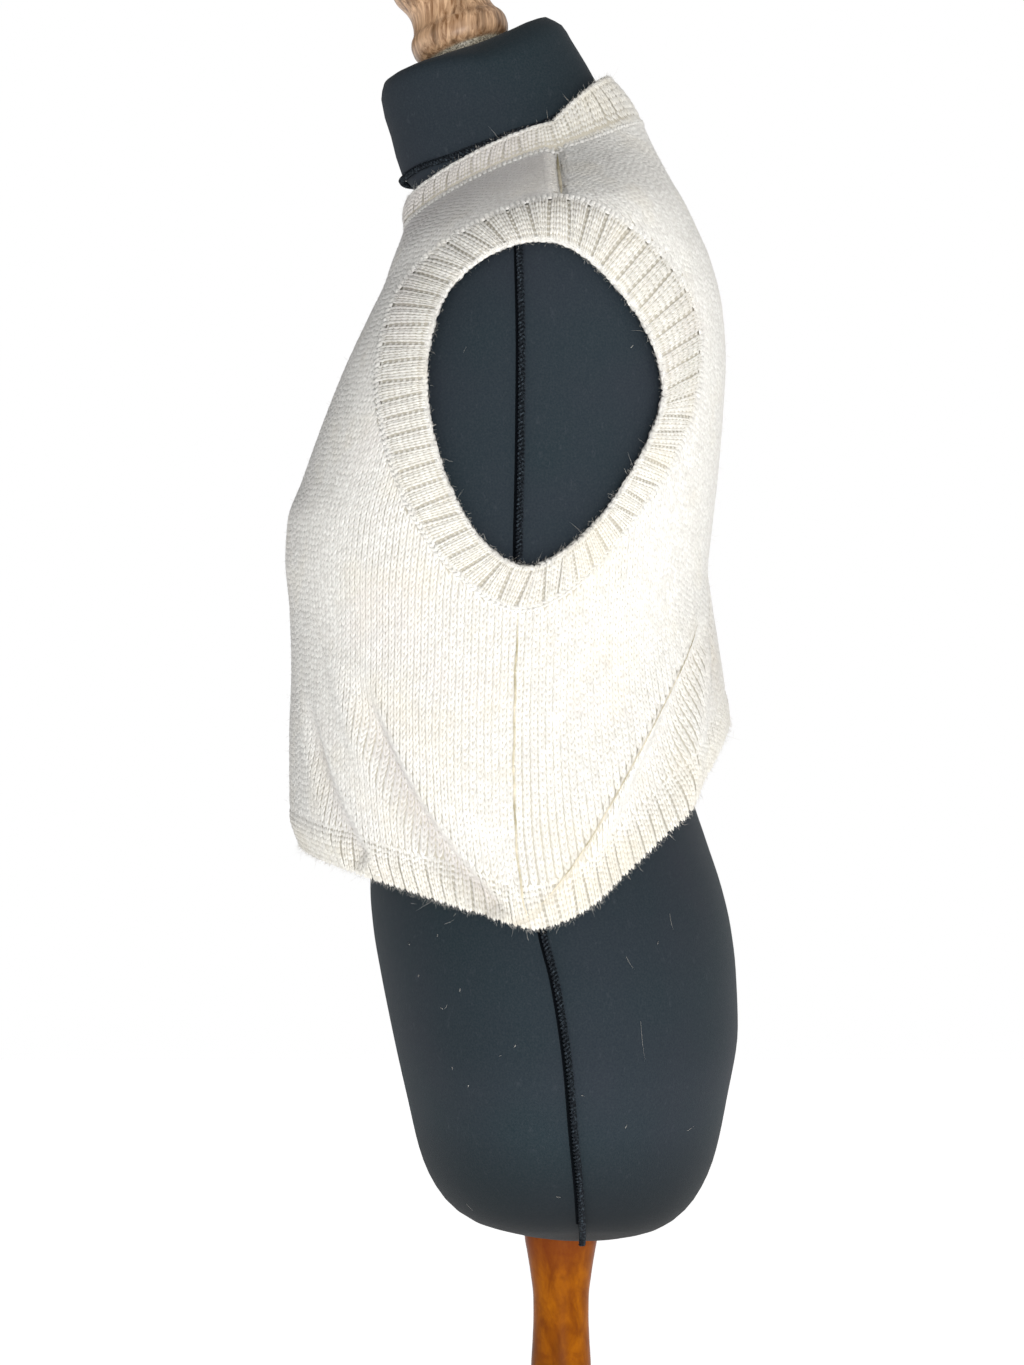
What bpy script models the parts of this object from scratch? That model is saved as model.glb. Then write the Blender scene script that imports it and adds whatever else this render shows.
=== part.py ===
# A cropped knit vest worn on a limbless dress form with a turned wooden stand.
# Metres, +Z up, the front towards -Y, the wearer's left towards +X.
# The origin is on the floor, on the axis of the post.
import math

import bmesh
import bpy
import numpy as np

SEAM_GAP = 0.0003  # between pieces that meet
SEAM_INSET = 0.0003  # of each panel at a seam
WALL = 0.0025  # knit cloth
RIB_RISE = 0.0013  # a rib above the groove beside it
RIB_SHAPE = (0.0, 0.8, 1.0, 0.8)  # of RIB_RISE, over one rib from groove to groove

PANEL_COLUMNS = 26
HEM_RIBS = 58  # on each panel
HEM_DEPTH = 0.022
HEM_RIB_END = 0.93  # share of the hem's depth at which its ribs end
HEM_ROWS = 8  # rows above the ribbing, up to the underarm
ARMHOLE_ROWS = 15  # rows that end at an armhole, on each panel
BENDING_ROWS = 5  # of those, up to the armhole's widest place
SHOULDER_ROWS = 4
ARMHOLE_RIBS = 54
NECK_RIBS = 48
# Shares of a band's width from its seam to its free edge.
RIB_START, BAND_MIDDLE, RIB_STOP = 0.10, 0.50, 0.97
NECK_SEAM = 0.022  # the gap at the neckband's seam, as such a share
DENSE = 120  # steps along a curve before it is cut into equal lengths

# Rings that the cloth's outer face runs through, each by its level, which is its height at the
# side. The front and back columns are the side view's outline, half_width the front view's.
BODY = [
    # level, half_width, side_y, front_z, front_y, back_z, back_y, fullness
    (0.9455, 0.1745, -0.0200, 0.983, -0.1550, 1.056, 0.0990, 2.30),
    (0.9665, 0.1772, -0.0240, 1.004, -0.1612, 1.074, 0.0970, 2.30),
    (1.0050, 0.1780, -0.0280, 1.044, -0.1614, 1.101, 0.0930, 2.30),
    (1.0470, 0.1765, -0.0285, 1.086, -0.1602, 1.126, 0.0890, 2.30),
    (1.0830, 0.1745, -0.0275, 1.120, -0.1612, 1.146, 0.0868, 2.30),
    (1.1170, 0.1728, -0.0262, 1.150, -0.1638, 1.168, 0.0890, 2.30),
    (1.1500, 0.1718, -0.0245, 1.172, -0.1626, 1.198, 0.0924, 2.30),
    (1.1900, 0.1712, -0.0220, 1.197, -0.1537, 1.236, 0.0956, 2.30),
    (1.2350, 0.1706, -0.0180, 1.230, -0.1416, 1.268, 0.0972, 2.30),
    (1.2750, 0.1695, -0.0130, 1.262, -0.1286, 1.297, 0.0952, 2.30),
    (1.3060, 0.1665, -0.0080, 1.292, -0.1145, 1.325, 0.0882, 2.28),
    (1.3265, 0.1600, -0.0050, 1.311, -0.1056, 1.343, 0.0805, 2.25),
    (1.3395, 0.1500, -0.0035, 1.322, -0.1022, 1.3565, 0.0745, 2.22),
    (1.3515, 0.1320, -0.0030, 1.331, -0.0992, 1.370, 0.0675, 2.20),
    (1.3645, 0.1080, -0.0035, 1.339, -0.0967, 1.384, 0.0608, 2.15),
    (1.3760, 0.0850, -0.0040, 1.345, -0.0950, 1.398, 0.0545, 2.10),
    (1.3848, 0.0680, -0.0041, 1.350, -0.0936, 1.411, 0.0490, 2.05),
]
HEM_LEVEL, UNDERARM_LEVEL, TIP_LEVEL, NECK_LEVEL = 0.9455, 1.1170, 1.3425, 1.3848

# The dress form where it shows below the hem and at the neck, in the same columns.
FORM_LOW = [
    (0.7640, 0.0880, 0.010, 0.7580, -0.0420, 0.7580, 0.0620, 2.1),
    (0.7710, 0.1080, 0.006, 0.7640, -0.0580, 0.7640, 0.0705, 2.1),
    (0.7830, 0.1260, 0.003, 0.7750, -0.0715, 0.7750, 0.0805, 2.1),
    (0.8030, 0.1420, 0.000, 0.7960, -0.0830, 0.7960, 0.0905, 2.1),
    (0.8350, 0.1555, -0.002, 0.8320, -0.0920, 0.8320, 0.0985, 2.1),
    (0.8746, 0.1660, -0.004, 0.8746, -0.1014, 0.8746, 0.1050, 2.1),
    (0.9076, 0.1655, -0.005, 0.9076, -0.1080, 0.9076, 0.1038, 2.1),
    (0.9328, 0.1620, -0.007, 0.9328, -0.1122, 0.9328, 0.1008, 2.1),
    (0.9560, 0.1560, -0.009, 0.9560, -0.1140, 0.9560, 0.0955, 2.1),
    (0.9850, 0.1470, -0.012, 0.9850, -0.1125, 0.9850, 0.0860, 2.1),
    (1.0150, 0.1390, -0.014, 1.0150, -0.1080, 1.0150, 0.0765, 2.1),
    (1.0450, 0.1330, -0.016, 1.0450, -0.1050, 1.0480, 0.0710, 2.1),
    (1.0800, 0.1360, -0.019, 1.0850, -0.1100, 1.0900, 0.0705, 2.15),
    (1.1170, 0.1500, -0.023, 1.1280, -0.1340, 1.1380, 0.0760, 2.2),
]
FORM_NECK = [
    (1.3920, 0.0590, -0.010, 1.3630, -0.0886, 1.4180, 0.0370, 2.0),
    (1.3990, 0.0552, -0.020, 1.3725, -0.0878, 1.4250, 0.0295, 2.0),
    (1.4060, 0.0552, -0.030, 1.3810, -0.0950, 1.4330, 0.0235, 2.0),
    (1.4200, 0.0560, -0.038, 1.4050, -0.1020, 1.4470, 0.0155, 2.0),
    (1.4350, 0.0560, -0.046, 1.4270, -0.1078, 1.4625, 0.0060, 2.0),
    (1.4412, 0.0530, -0.050, 1.4355, -0.1062, 1.4705, 0.0010, 2.0),
    (1.4462, 0.0460, -0.052, 1.4400, -0.0980, 1.4755, -0.0080, 2.0),
]
# How far the form lies inside the cloth's outer face, where it carries the cloth.
FORM_EASE = [
    # level, front, side, back
    (1.1500, 0.0048, 0.0080, 0.0060),
    (1.1900, 0.0048, 0.0080, 0.0048),
    (1.2350, 0.0048, 0.0080, 0.0048),
    (1.2750, 0.0044, 0.0080, 0.0044),
    (1.3060, 0.0042, 0.0080, 0.0044),
    (1.3265, 0.0042, 0.0078, 0.0044),
    (1.3395, 0.0042, 0.0062, 0.0044),
    (1.3515, 0.0042, 0.0042, 0.0044),
    (1.3645, 0.0042, 0.0040, 0.0044),
    (1.3760, 0.0042, 0.0042, 0.0044),
    (1.3848, 0.0042, 0.0044, 0.0044),
]
FORM_COLUMNS = 36

# The band's top edge, as one ring in the body's columns, and its slants.
NECKBAND_TOP = (1.4005, 0.0620, -0.006, 1.3655, -0.0925, 1.4395, 0.0300, 2.0)
NECKBAND_SLANTS = (1.25, 1.0)

# One armhole in the side view, from the underarm up the front, over the shoulder and down the
# back: the seam on the panels, and the band's free edge. The seam crosses the side seam in the
# first row and the shoulder seam in SHOULDER_ROW.
ARMHOLE = [
    # seam_y, seam_z, edge_y, edge_z
    (-0.0262, 1.1170, -0.0190, 1.1390),
    (-0.0600, 1.1375, -0.0425, 1.1495),
    (-0.0850, 1.1725, -0.0620, 1.1790),
    (-0.0995, 1.2130, -0.0742, 1.2170),
    (-0.1040, 1.2520, -0.0765, 1.2530),
    (-0.0920, 1.2990, -0.0660, 1.2900),
    (-0.0500, 1.3290, -0.0360, 1.3130),
    (-0.0033, 1.3425, -0.0040, 1.3155),
    (0.0415, 1.3220, 0.0232, 1.2965),
    (0.0715, 1.2895, 0.0462, 1.2670),
    (0.0765, 1.2535, 0.0545, 1.2390),
    (0.0650, 1.2110, 0.0475, 1.2120),
    (0.0400, 1.1700, 0.0270, 1.1765),
    (0.0060, 1.1310, 0.0040, 1.1515),
]
SHOULDER_ROW = 7

# Folds of the worn cloth, each a soft ridge or trough along a line on the wearer's left (1) or
# right (-1). girth is the length round the body from the side seam, positive to the front.
# bow is how far the line's middle bends forwards, ahead and behind its half-widths towards the
# front and the back, rise its height outwards, and a fade the share over which an end dies away.
FOLDS = [
    # side, top_girth, top_level, low_girth, low_level, bow, ahead, behind, rise, fades
    (1, -0.146, 1.054, 0.000, 0.953, -0.008, 0.040, 0.022, 0.0070, 0.35, 0.00),
    (1, -0.170, 1.043, -0.026, 0.948, -0.008, 0.022, 0.046, -0.0085, 0.35, 0.20),
    (1, -0.186, 1.032, -0.120, 0.950, 0.000, 0.020, 0.026, 0.0045, 0.30, 0.00),
    (1, 0.094, 1.068, 0.024, 0.950, 0.000, 0.028, 0.026, -0.0055, 0.40, 0.10),
    (1, 0.152, 1.030, 0.098, 0.955, 0.000, 0.026, 0.024, -0.0040, 0.35, 0.10),
    (1, 0.052, 1.060, 0.008, 0.975, 0.000, 0.024, 0.026, 0.0030, 0.40, 0.30),
    (-1, -0.136, 1.065, -0.012, 0.955, -0.006, 0.038, 0.022, 0.0060, 0.35, 0.05),
    (-1, -0.161, 1.054, -0.038, 0.949, -0.006, 0.022, 0.042, -0.0070, 0.35, 0.20),
    (-1, -0.190, 1.050, -0.138, 0.955, 0.000, 0.020, 0.022, -0.0035, 0.35, 0.10),
    (-1, 0.082, 1.075, 0.034, 0.950, 0.000, 0.028, 0.026, -0.0050, 0.40, 0.10),
    (-1, 0.140, 1.022, 0.108, 0.955, 0.000, 0.024, 0.024, -0.0035, 0.35, 0.05),
    (-1, 0.026, 1.050, 0.004, 0.965, 0.000, 0.024, 0.024, 0.0030, 0.40, 0.20),
]

# How a ring's height runs from its side to its middle: under 1 it leaves the side steeply.
SLANTS = [
    # level, front, back
    (0.8800, 1.25, 1.45),
    (0.9455, 0.88, 1.75),
    (0.9665, 0.90, 1.72),
    (1.0050, 0.95, 1.60),
    (1.0470, 1.10, 1.50),
    (1.1170, 1.25, 1.45),
]

# Piping cords on the form.
PIPING_RADIUS = 0.0016
PIPING_SIDES = 5
SIDE_PIPING = [
    # y, z down the side seam
    (-0.0250, 1.318),
    (-0.0240, 1.260),
    (-0.0245, 1.200),
    (-0.0256, 1.140),
    (-0.0235, 1.080),
    (-0.0190, 1.010),
    (-0.0125, 0.944),
    (-0.0057, 0.9165),
    (0.0011, 0.8724),
    (0.0046, 0.8323),
    (0.0081, 0.7968),
    (0.0095, 0.7780),
]
NECK_PIPING = [
    # degrees from the centre front, level; inside the neckband's top edge from the side on
    (0, 1.4050),
    (30, 1.4035),
    (55, 1.3995),
    (75, 1.3980),
    (90, 1.3985),
    (130, 1.4010),
    (180, 1.4030),
]
NECK_PIPING_STEPS = 48
NECK_PIPING_GAP = 0.0006  # off the form, whose facets it crosses

# Turned wood, as radius and height from the bottom up.
FINIAL = [
    (0.0245, 0.0003),
    (0.0250, 0.0045),
    (0.0272, 0.0062),
    (0.0289, 0.0085),
    (0.0299, 0.0120),
    (0.0300, 0.0155),
    (0.0288, 0.0195),
    (0.0262, 0.0230),
    (0.0247, 0.0275),
    (0.0243, 0.0320),
    (0.0252, 0.0370),
    (0.0272, 0.0415),
    (0.0292, 0.0460),
    (0.0298, 0.0505),
    (0.0288, 0.0555),
    (0.0255, 0.0600),
    (0.0200, 0.0635),
    (0.0110, 0.0657),
]
POST = [
    (0.0235, 0.0343),
    (0.0240, 0.0400),
    (0.0225, 0.0470),
    (0.0190, 0.0560),
    (0.0180, 0.0800),
    (0.0188, 0.2500),
    (0.0194, 0.4500),
    (0.0192, 0.6000),
    (0.0180, 0.6680),
    (0.0171, 0.6840),
    (0.0165, 0.6980),
    (0.0165, 0.7090),
    (0.0174, 0.7240),
    (0.0187, 0.7360),
    (0.0203, 0.7460),
    (0.0210, 0.7540),
]
BASE = [
    (0.1870, 0.0000),
    (0.1900, 0.0040),
    (0.1900, 0.0170),
    (0.1880, 0.0215),
    (0.1840, 0.0240),
    (0.0700, 0.0300),
    (0.0420, 0.0325),
    (0.0330, 0.0340),
]
TORSO_BOTTOM = POST[-1][1] + SEAM_GAP
TORSO_FLAT = (0.052, 0.036, 0.012)  # the flat under the form: half width, half depth, centre y
FINIAL_SEAT = (-0.0560, 1.4520, 0.362)  # its middle's y and z, its rise for each metre backwards
TORSO_TOP_SHARE = 0.62  # the neck top's flat, as a share of its rim
FINIAL_SEGMENTS, POST_SEGMENTS, BASE_SEGMENTS = 24, 20, 48

COLUMNS = "level half_width side_y front_z front_y back_z back_y fullness".split()
FRONT, BACK = 1, -1
LEFT, RIGHT = 1, -1


def clear_scene():
    for thing in list(bpy.data.objects):
        bpy.data.objects.remove(thing, do_unlink=True)


# Smooth curves and the surfaces they make


class Curve:
    """A smooth curve through known values that makes no bumps of its own between them."""

    def __init__(self, places, values):
        self.places, self.values = np.array(places, float), np.array(values, float)
        step = np.diff(self.places)
        slope = np.diff(self.values) / step
        self.slopes = np.empty_like(self.values)
        self.slopes[0], self.slopes[-1] = slope[0], slope[-1]
        near, far = slope[:-1], slope[1:]
        wide_near, wide_far = 2 * step[1:] + step[:-1], step[1:] + 2 * step[:-1]
        same = near * far > 0
        near, far = np.where(same, near, 1), np.where(same, far, 1)
        mean = (wide_near + wide_far) / (wide_near / near + wide_far / far)
        self.slopes[1:-1] = np.where(same, mean, 0)

    def __call__(self, place):
        place = np.clip(place, self.places[0], self.places[-1])
        index = np.clip(np.searchsorted(self.places, place) - 1, 0, len(self.places) - 2)
        step = self.places[index + 1] - self.places[index]
        t = (place - self.places[index]) / step
        low, high = self.values[index], self.values[index + 1]
        low_slope, high_slope = self.slopes[index] * step, self.slopes[index + 1] * step
        rest = (high - low) * t * t * (3 - 2 * t)
        return low + rest + low_slope * t * (1 - t) ** 2 - high_slope * t * t * (1 - t)


class Loft:
    """A tube through rings, each a rounded outline in plan whose height may differ round it."""

    def __init__(self, rows):
        levels = [row[0] for row in rows]
        pairs = zip(COLUMNS, zip(*rows))
        self.curves = {name: Curve(levels, values) for name, values in pairs}

    def point(self, angle, level):
        """angle runs from the centre front, positive to the wearer's left."""
        angle, level = np.broadcast_arrays(angle, level)
        at = {name: curve(level) for name, curve in self.curves.items()}
        return ring_point(angle, at)

    def normal(self, angle, level, small=0.0004):
        round_it = self.point(angle + small, level) - self.point(angle - small, level)
        levels = self.curves["level"].places
        up = np.minimum(level + small, levels[-1])
        down = np.maximum(level - small, levels[0])
        along = self.point(angle, up) - self.point(angle, down)
        across = np.cross(round_it, along)
        return across / np.linalg.norm(across, axis=-1, keepdims=True)


front_slants, back_slants = [Curve(*np.array(SLANTS)[:, [0, column]].T) for column in (1, 2)]


def ring_point(angle, at, slants=None):
    front_slant, back_slant = slants or (front_slants(at["level"]), back_slants(at["level"]))
    side, ahead = np.sin(angle), np.cos(angle)
    power = at["fullness"]
    reach = (np.abs(side) ** power + np.abs(ahead) ** power) ** (-1 / power)
    side, ahead = side * reach, ahead * reach
    front = ahead > 0
    depth = np.where(front, at["side_y"] - at["front_y"], at["back_y"] - at["side_y"])
    lift = np.where(front, at["front_z"], at["back_z"]) - at["level"]
    y = at["side_y"] - ahead * depth
    z = at["level"] + lift * np.abs(ahead) ** np.where(front, front_slant, back_slant)
    return np.stack([at["half_width"] * side, y, z], -1)


def locate(loft, y, z, level, small=1e-5, tries=25, widest_turn=0.2, widest_rise=0.02):
    """Where the side view's y and z lie on the wearer's left: their angle and level. The
    search starts at the side, at the given level."""
    y, z = np.broadcast_arrays(np.asarray(y, float), z)
    angle = np.full(y.shape, math.pi / 2)
    level = np.full(y.shape, level, float)
    for _ in range(tries):
        here = loft.point(angle, level)
        turned = (loft.point(angle + small, level) - here) / small
        raised = (loft.point(angle, level + small) - here) / small
        miss_y, miss_z = y - here[..., 1], z - here[..., 2]
        scale = turned[..., 1] * raised[..., 2] - turned[..., 2] * raised[..., 1]
        turn = (miss_y * raised[..., 2] - miss_z * raised[..., 1]) / scale
        rise = (turned[..., 1] * miss_z - turned[..., 2] * miss_y) / scale
        angle = angle + np.clip(turn, -widest_turn, widest_turn)
        level = level + np.clip(rise, -widest_rise, widest_rise)
    return angle, level


body = Loft(BODY)


# Folds


class GirthMap:
    """The cloth's length round the body from the side seam, positive to the front."""

    def __init__(self, loft, levels=60, angles=180):
        self.levels = np.linspace(HEM_LEVEL, NECK_LEVEL, levels + 1)
        self.angles = np.linspace(0, math.pi, angles + 1)
        points = loft.point(self.angles, self.levels[:, None])
        lengths = np.linalg.norm(np.diff(points, axis=1), axis=-1)
        run = np.pad(np.cumsum(lengths, 1), ((0, 0), (1, 0)))
        self.girths = run[:, angles // 2, None] - run

    def __call__(self, angle, level):
        across, along = len(self.angles) - 1, len(self.levels) - 1
        column = np.clip(np.abs(angle) / math.pi, 0, 1) * across
        row = np.clip((level - HEM_LEVEL) / (NECK_LEVEL - HEM_LEVEL), 0, 1) * along
        left, low = np.minimum(column.astype(int), across - 1), np.minimum(row.astype(int), along - 1)
        right_share, high_share = column - left, row - low
        lower = self.girths[low, left] * (1 - right_share) + self.girths[low, left + 1] * right_share
        upper = self.girths[low + 1, left] * (1 - right_share)
        upper = upper + self.girths[low + 1, left + 1] * right_share
        return lower * (1 - high_share) + upper * high_share


girth_map = GirthMap(body)


def bell(share):
    return 0.5 + 0.5 * np.cos(math.pi * np.clip(share, -1, 1))


def fold_rise(angle, level):
    """How far the folds move the cloth outwards."""
    girth = girth_map(angle, level)
    total = np.zeros(np.shape(girth))
    for side, top_girth, top_level, low_girth, low_level, *shape in FOLDS:
        bow, ahead, behind, rise, fade_top, fade_low = shape
        line = np.array([low_girth - top_girth, low_level - top_level])
        length = np.hypot(*line)
        line = line / length
        away_girth, away_level = girth - top_girth, level - top_level
        along = (away_girth * line[0] + away_level * line[1]) / length
        forward = away_level * line[0] - away_girth * line[1]
        forward = forward - bow * 4 * along * (1 - along)
        share = np.where(forward > 0, forward / ahead, forward / behind)
        fade = np.ones(np.shape(girth))
        if fade_top:
            fade = fade * bell(np.minimum(along / fade_top - 1, 0))
        if fade_low:
            fade = fade * bell(np.maximum((along - 1) / fade_low + 1, 0))
        total += rise * bell(share) * fade * (np.sin(angle) * side > 0)
    return total


def cloth_point(angle, level, out=0.0):
    """A point of the worn cloth's outer face, moved outwards by out."""
    out = np.asarray(out)[..., None] + fold_rise(angle, level)[..., None]
    return body.point(angle, level) + body.normal(angle, level) * out


# Meshes


class Shell:
    """Rows of points, joined by faces into one closed body."""

    def __init__(self):
        self.points, self.faces = [], []

    def row(self, points):
        start = len(self.points)
        self.points += [tuple(float(v) for v in point) for point in points]
        return list(range(start, len(self.points)))

    def stitch(self, low, high, closed=False):
        """Faces between two rows, whose counts may differ. They face the way that a row
        running to the right, with the next above it, is seen from."""
        if closed:
            low, high = low + low[:1], high + high[:1]
        i = j = 0
        across_low, across_high = len(low) - 1, len(high) - 1
        while i < across_low or j < across_high:
            step_low = (i + 1) * across_high if i < across_low else math.inf
            step_high = (j + 1) * across_low if j < across_high else math.inf
            if step_low == step_high:
                self.faces.append((low[i], low[i + 1], high[j + 1], high[j]))
                i, j = i + 1, j + 1
            elif step_low < step_high:
                self.faces.append((low[i], low[i + 1], high[j]))
                i += 1
            else:
                self.faces.append((low[i], high[j + 1], high[j]))
                j += 1

    def fan(self, ring, centre, upward):
        tip = self.row([centre])[0]
        for a, b in zip(ring, ring[1:] + ring[:1]):
            self.faces.append((a, b, tip) if upward else (b, a, tip))

    def build(self, name, material):
        mesh = bpy.data.meshes.new(name)
        mesh.from_pydata(self.points, [], self.faces)
        bm = bmesh.new()
        bm.from_mesh(mesh)
        bmesh.ops.recalc_face_normals(bm, faces=bm.faces)
        bm.to_mesh(mesh)
        bm.free()
        mesh.shade_smooth()
        mesh.set_sharp_from_angle(angle=math.radians(50))
        mesh.materials.append(material)
        made = bpy.data.objects.new(name, mesh)
        bpy.context.scene.collection.objects.link(made)
        return made


def material(name, colour, roughness):
    made = bpy.data.materials.new(name)
    made.use_nodes = True
    shader = made.node_tree.nodes["Principled BSDF"]
    shader.inputs["Base Color"].default_value = (*colour, 1)
    shader.inputs["Roughness"].default_value = roughness
    shader.inputs["Metallic"].default_value = 0
    return made


def even(points, count):
    """count + 1 shares of a dense row of points, at equal lengths along it."""
    lengths = np.linalg.norm(np.diff(points, axis=0), axis=1)
    run = np.concatenate([[0], np.cumsum(lengths)])
    wanted = np.linspace(0, run[-1], count + 1)
    return np.interp(wanted, run, np.linspace(0, 1, len(points)))


def rib_heights(count):
    return RIB_RISE * np.resize(RIB_SHAPE, count * len(RIB_SHAPE) + 1)


# The armhole


def armhole_curves():
    """The seam and the free edge in the side view, each over shares 0 to 1 of the way round.
    Share 0 is the underarm and 0.5 the shoulder seam."""
    table = np.array(ARMHOLE[-3:] + ARMHOLE + ARMHOLE[:3], float)
    chords = np.hypot(*np.diff(table[:, :2], axis=0).T)
    run = np.concatenate([[0], np.cumsum(np.sqrt(chords))])
    start, middle, end = run[3], run[3 + SHOULDER_ROW], run[3 + len(ARMHOLE)]
    share = np.interp(run, [start, middle, end], [0, 0.5, 1])
    share = np.where(run < start, (run - start) / (end - start), share)
    share = np.where(run > end, 1 + (run - end) / (end - start), share)
    return [catmull(share, table[:, column]) for column in range(4)]


def catmull(places, values):
    """A smooth curve that may overshoot a little, for a rounded outline."""
    made = Curve(places, values)
    made.slopes = np.gradient(values, places)
    return made


def armhole_even_shares(curves, count):
    """count + 1 shares from 0 to 0.5, then on to 1, at equal lengths along the seam."""
    shares = []
    for start in (0.0, 0.5):
        dense = np.linspace(start, start + 0.5, DENSE + 1)
        outline = np.stack([curves[0](dense), curves[1](dense)], -1)
        shares.append(start + 0.5 * even(outline, count))
    return shares


armhole = armhole_curves()
front_shares, back_shares = armhole_even_shares(armhole, ARMHOLE_ROWS)


def armhole_place(share, across):
    """Angle and level of a place on the band, from its seam (across 0) to its edge (1)."""
    y = armhole[0](share) * (1 - across) + armhole[2](share) * across
    z = armhole[1](share) * (1 - across) + armhole[3](share) * across
    return locate(body, y, z, (UNDERARM_LEVEL + TIP_LEVEL) / 2)


# The panels


def panel_rows():
    """Levels of a panel's rows from the hem to the underarm. The first two carry the ribs."""
    ribbing = [HEM_LEVEL, HEM_LEVEL + HEM_RIB_END * HEM_DEPTH]
    return ribbing + list(np.linspace(HEM_LEVEL + HEM_DEPTH, UNDERARM_LEVEL, HEM_ROWS + 1))


def edge_places(face):
    """Angle from the panel's centre and level of its edge, for each row from the hem up."""
    low = panel_rows()
    places = [(math.pi / 2, level) for level in low[:-1]]
    shares = front_shares if face == FRONT else back_shares[::-1]
    angles, levels = armhole_place(np.array(shares), 0.0)
    if face == BACK:
        angles = math.pi - angles
    angles[0] = angles[-1] = math.pi / 2
    levels[0], levels[-1] = UNDERARM_LEVEL, TIP_LEVEL
    places += list(zip(angles, levels))
    shoulder = np.linspace(TIP_LEVEL, NECK_LEVEL, SHOULDER_ROWS + 1)[1:]
    places += [(math.pi / 2, level) for level in shoulder]
    return places


def centre_levels():
    low = panel_rows()
    high = np.linspace(UNDERARM_LEVEL, NECK_LEVEL, ARMHOLE_ROWS + SHOULDER_ROWS + 1)
    return low + list(high[1:])


def row_bends():
    """How each row runs to its edge: late (-1) below the armhole's widest place, and early (1)
    above it, so that no row cuts across the armhole."""
    armhole_rows = np.clip(np.arange(1, ARMHOLE_ROWS + 1) / BENDING_ROWS - 1, -1, 1)
    return [-1] * len(panel_rows()) + list(armhole_rows) + [1] * SHOULDER_ROWS


def half_row(face, centre_level, edge_angle, edge_level, bend):
    """Angles and levels along a row from the centre to its edge on the left, densely."""
    share = np.linspace(0, 1, DENSE + 1)
    angle = edge_angle * share
    level = centre_level + (edge_level - centre_level) * share * (1 + bend * (1 - share))
    if face == BACK:
        angle = math.pi - angle
    return angle, level


def row_places(face, row, count):
    """Angles and levels of count + 1 points across a whole row, evenly spaced, from the
    wearer's right to left on the front and from left to right on the back. The row stops
    just short of each edge."""
    angle, level = half_row(face, *row)
    points = body.point(angle, level)
    lengths = np.linalg.norm(np.diff(points, axis=0), axis=1)
    run = np.concatenate([[0], np.cumsum(lengths)])
    wanted = np.linspace(0, run[-1] - SEAM_INSET, count // 2 + 1)
    angle, level = np.interp(wanted, run, angle), np.interp(wanted, run, level)
    mirrored = -angle[:0:-1]
    if face == FRONT:
        return np.concatenate([mirrored, angle]), np.concatenate([level[:0:-1], level])
    return np.concatenate([angle[::-1], mirrored[::-1]]), np.concatenate([level[::-1], level[1:]])


def panel(name, face, knit):
    shell = Shell()
    outer, inner = [], []
    places = zip(centre_levels(), edge_places(face), row_bends())
    rows = [(centre, *edge, bend) for centre, edge, bend in places]
    rib_points = HEM_RIBS * len(RIB_SHAPE)
    for index, row in enumerate(rows):
        angle, level = row_places(face, row, PANEL_COLUMNS)
        inner.append(shell.row(cloth_point(angle, level, -WALL)))
        if index < 2:
            fine_angle, fine_level = row_places(face, row, rib_points)
            rise = rib_heights(HEM_RIBS)
            outer.append(shell.row(cloth_point(fine_angle, fine_level, rise)))
        else:
            outer.append(shell.row(cloth_point(angle, level)))
    for low, high in zip(outer, outer[1:]):
        shell.stitch(low, high)
    for low, high in zip(inner, inner[1:]):
        shell.stitch(high, low)
    shell.stitch(inner[0], outer[0])
    shell.stitch(outer[-1], inner[-1])
    for end in (0, -1):
        rim = [row[end] for row in outer], [row[end] for row in inner]
        shell.stitch(*(rim if end == 0 else rim[::-1]))
    return shell.build(name, knit)


# The bands


def armhole_band(name, side, knit):
    shell = Shell()
    first_row = np.reshape(ARMHOLE[0], (2, 2))
    seam = SEAM_GAP / math.dist(*first_row)
    coarse = np.concatenate([front_shares[:-1], back_shares[:-1]])
    fine = np.linspace(0, 1, ARMHOLE_RIBS * len(RIB_SHAPE) + 1)[:-1]
    fine = np.interp(fine, np.linspace(0, 1, 2 * ARMHOLE_ROWS + 1), np.append(coarse, 1.0))
    rise = rib_heights(ARMHOLE_RIBS)[:-1]

    def ring(shares, across, out):
        angle, level = armhole_place(shares, across)
        if across < BAND_MIDDLE:
            angle, level = seam_chords(shares, coarse, across, angle, level)
        points = body.point(angle, level) + body.normal(angle, level) * np.asarray(out)[..., None]
        points[:, 0] *= side
        return shell.row(points)

    rings = [
        ring(coarse, seam, 0 * coarse),
        ring(fine, RIB_START, rise),
        ring(fine, RIB_STOP, rise),
        ring(coarse, RIB_STOP, 0 * coarse - WALL),
        ring(coarse, BAND_MIDDLE, 0 * coarse - WALL),
        ring(coarse, seam, 0 * coarse - WALL),
    ]
    for low, high in zip(rings, rings[1:] + rings[:1]):
        shell.stitch(low, high, closed=True)
    return shell.build(name, knit)


def seam_chords(shares, coarse, across, angle, level):
    """Near the seam the band follows the panels' straight edges between their rows."""
    if len(shares) == len(coarse):
        return angle, level
    corner_angle, corner_level = armhole_place(np.append(coarse, 1.0), across)
    at = np.append(coarse, 1.0)
    return np.interp(shares, at, corner_angle), np.interp(shares, at, corner_level)


def neckline_angles():
    """Angles of the panels' corners round the neckline, from the centre front leftwards."""
    top = (NECK_LEVEL, math.pi / 2, NECK_LEVEL, 0)
    front = row_places(FRONT, top, PANEL_COLUMNS)[0]
    back = row_places(BACK, top, PANEL_COLUMNS)[0]
    half = PANEL_COLUMNS // 2
    left_front, left_back = front[half:-1], back[:half]
    shoulder = [math.pi / 2]
    left = np.concatenate([left_front, shoulder, left_back[1:]])
    return np.concatenate([left, [math.pi], 2 * math.pi - left[:0:-1]])


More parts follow.
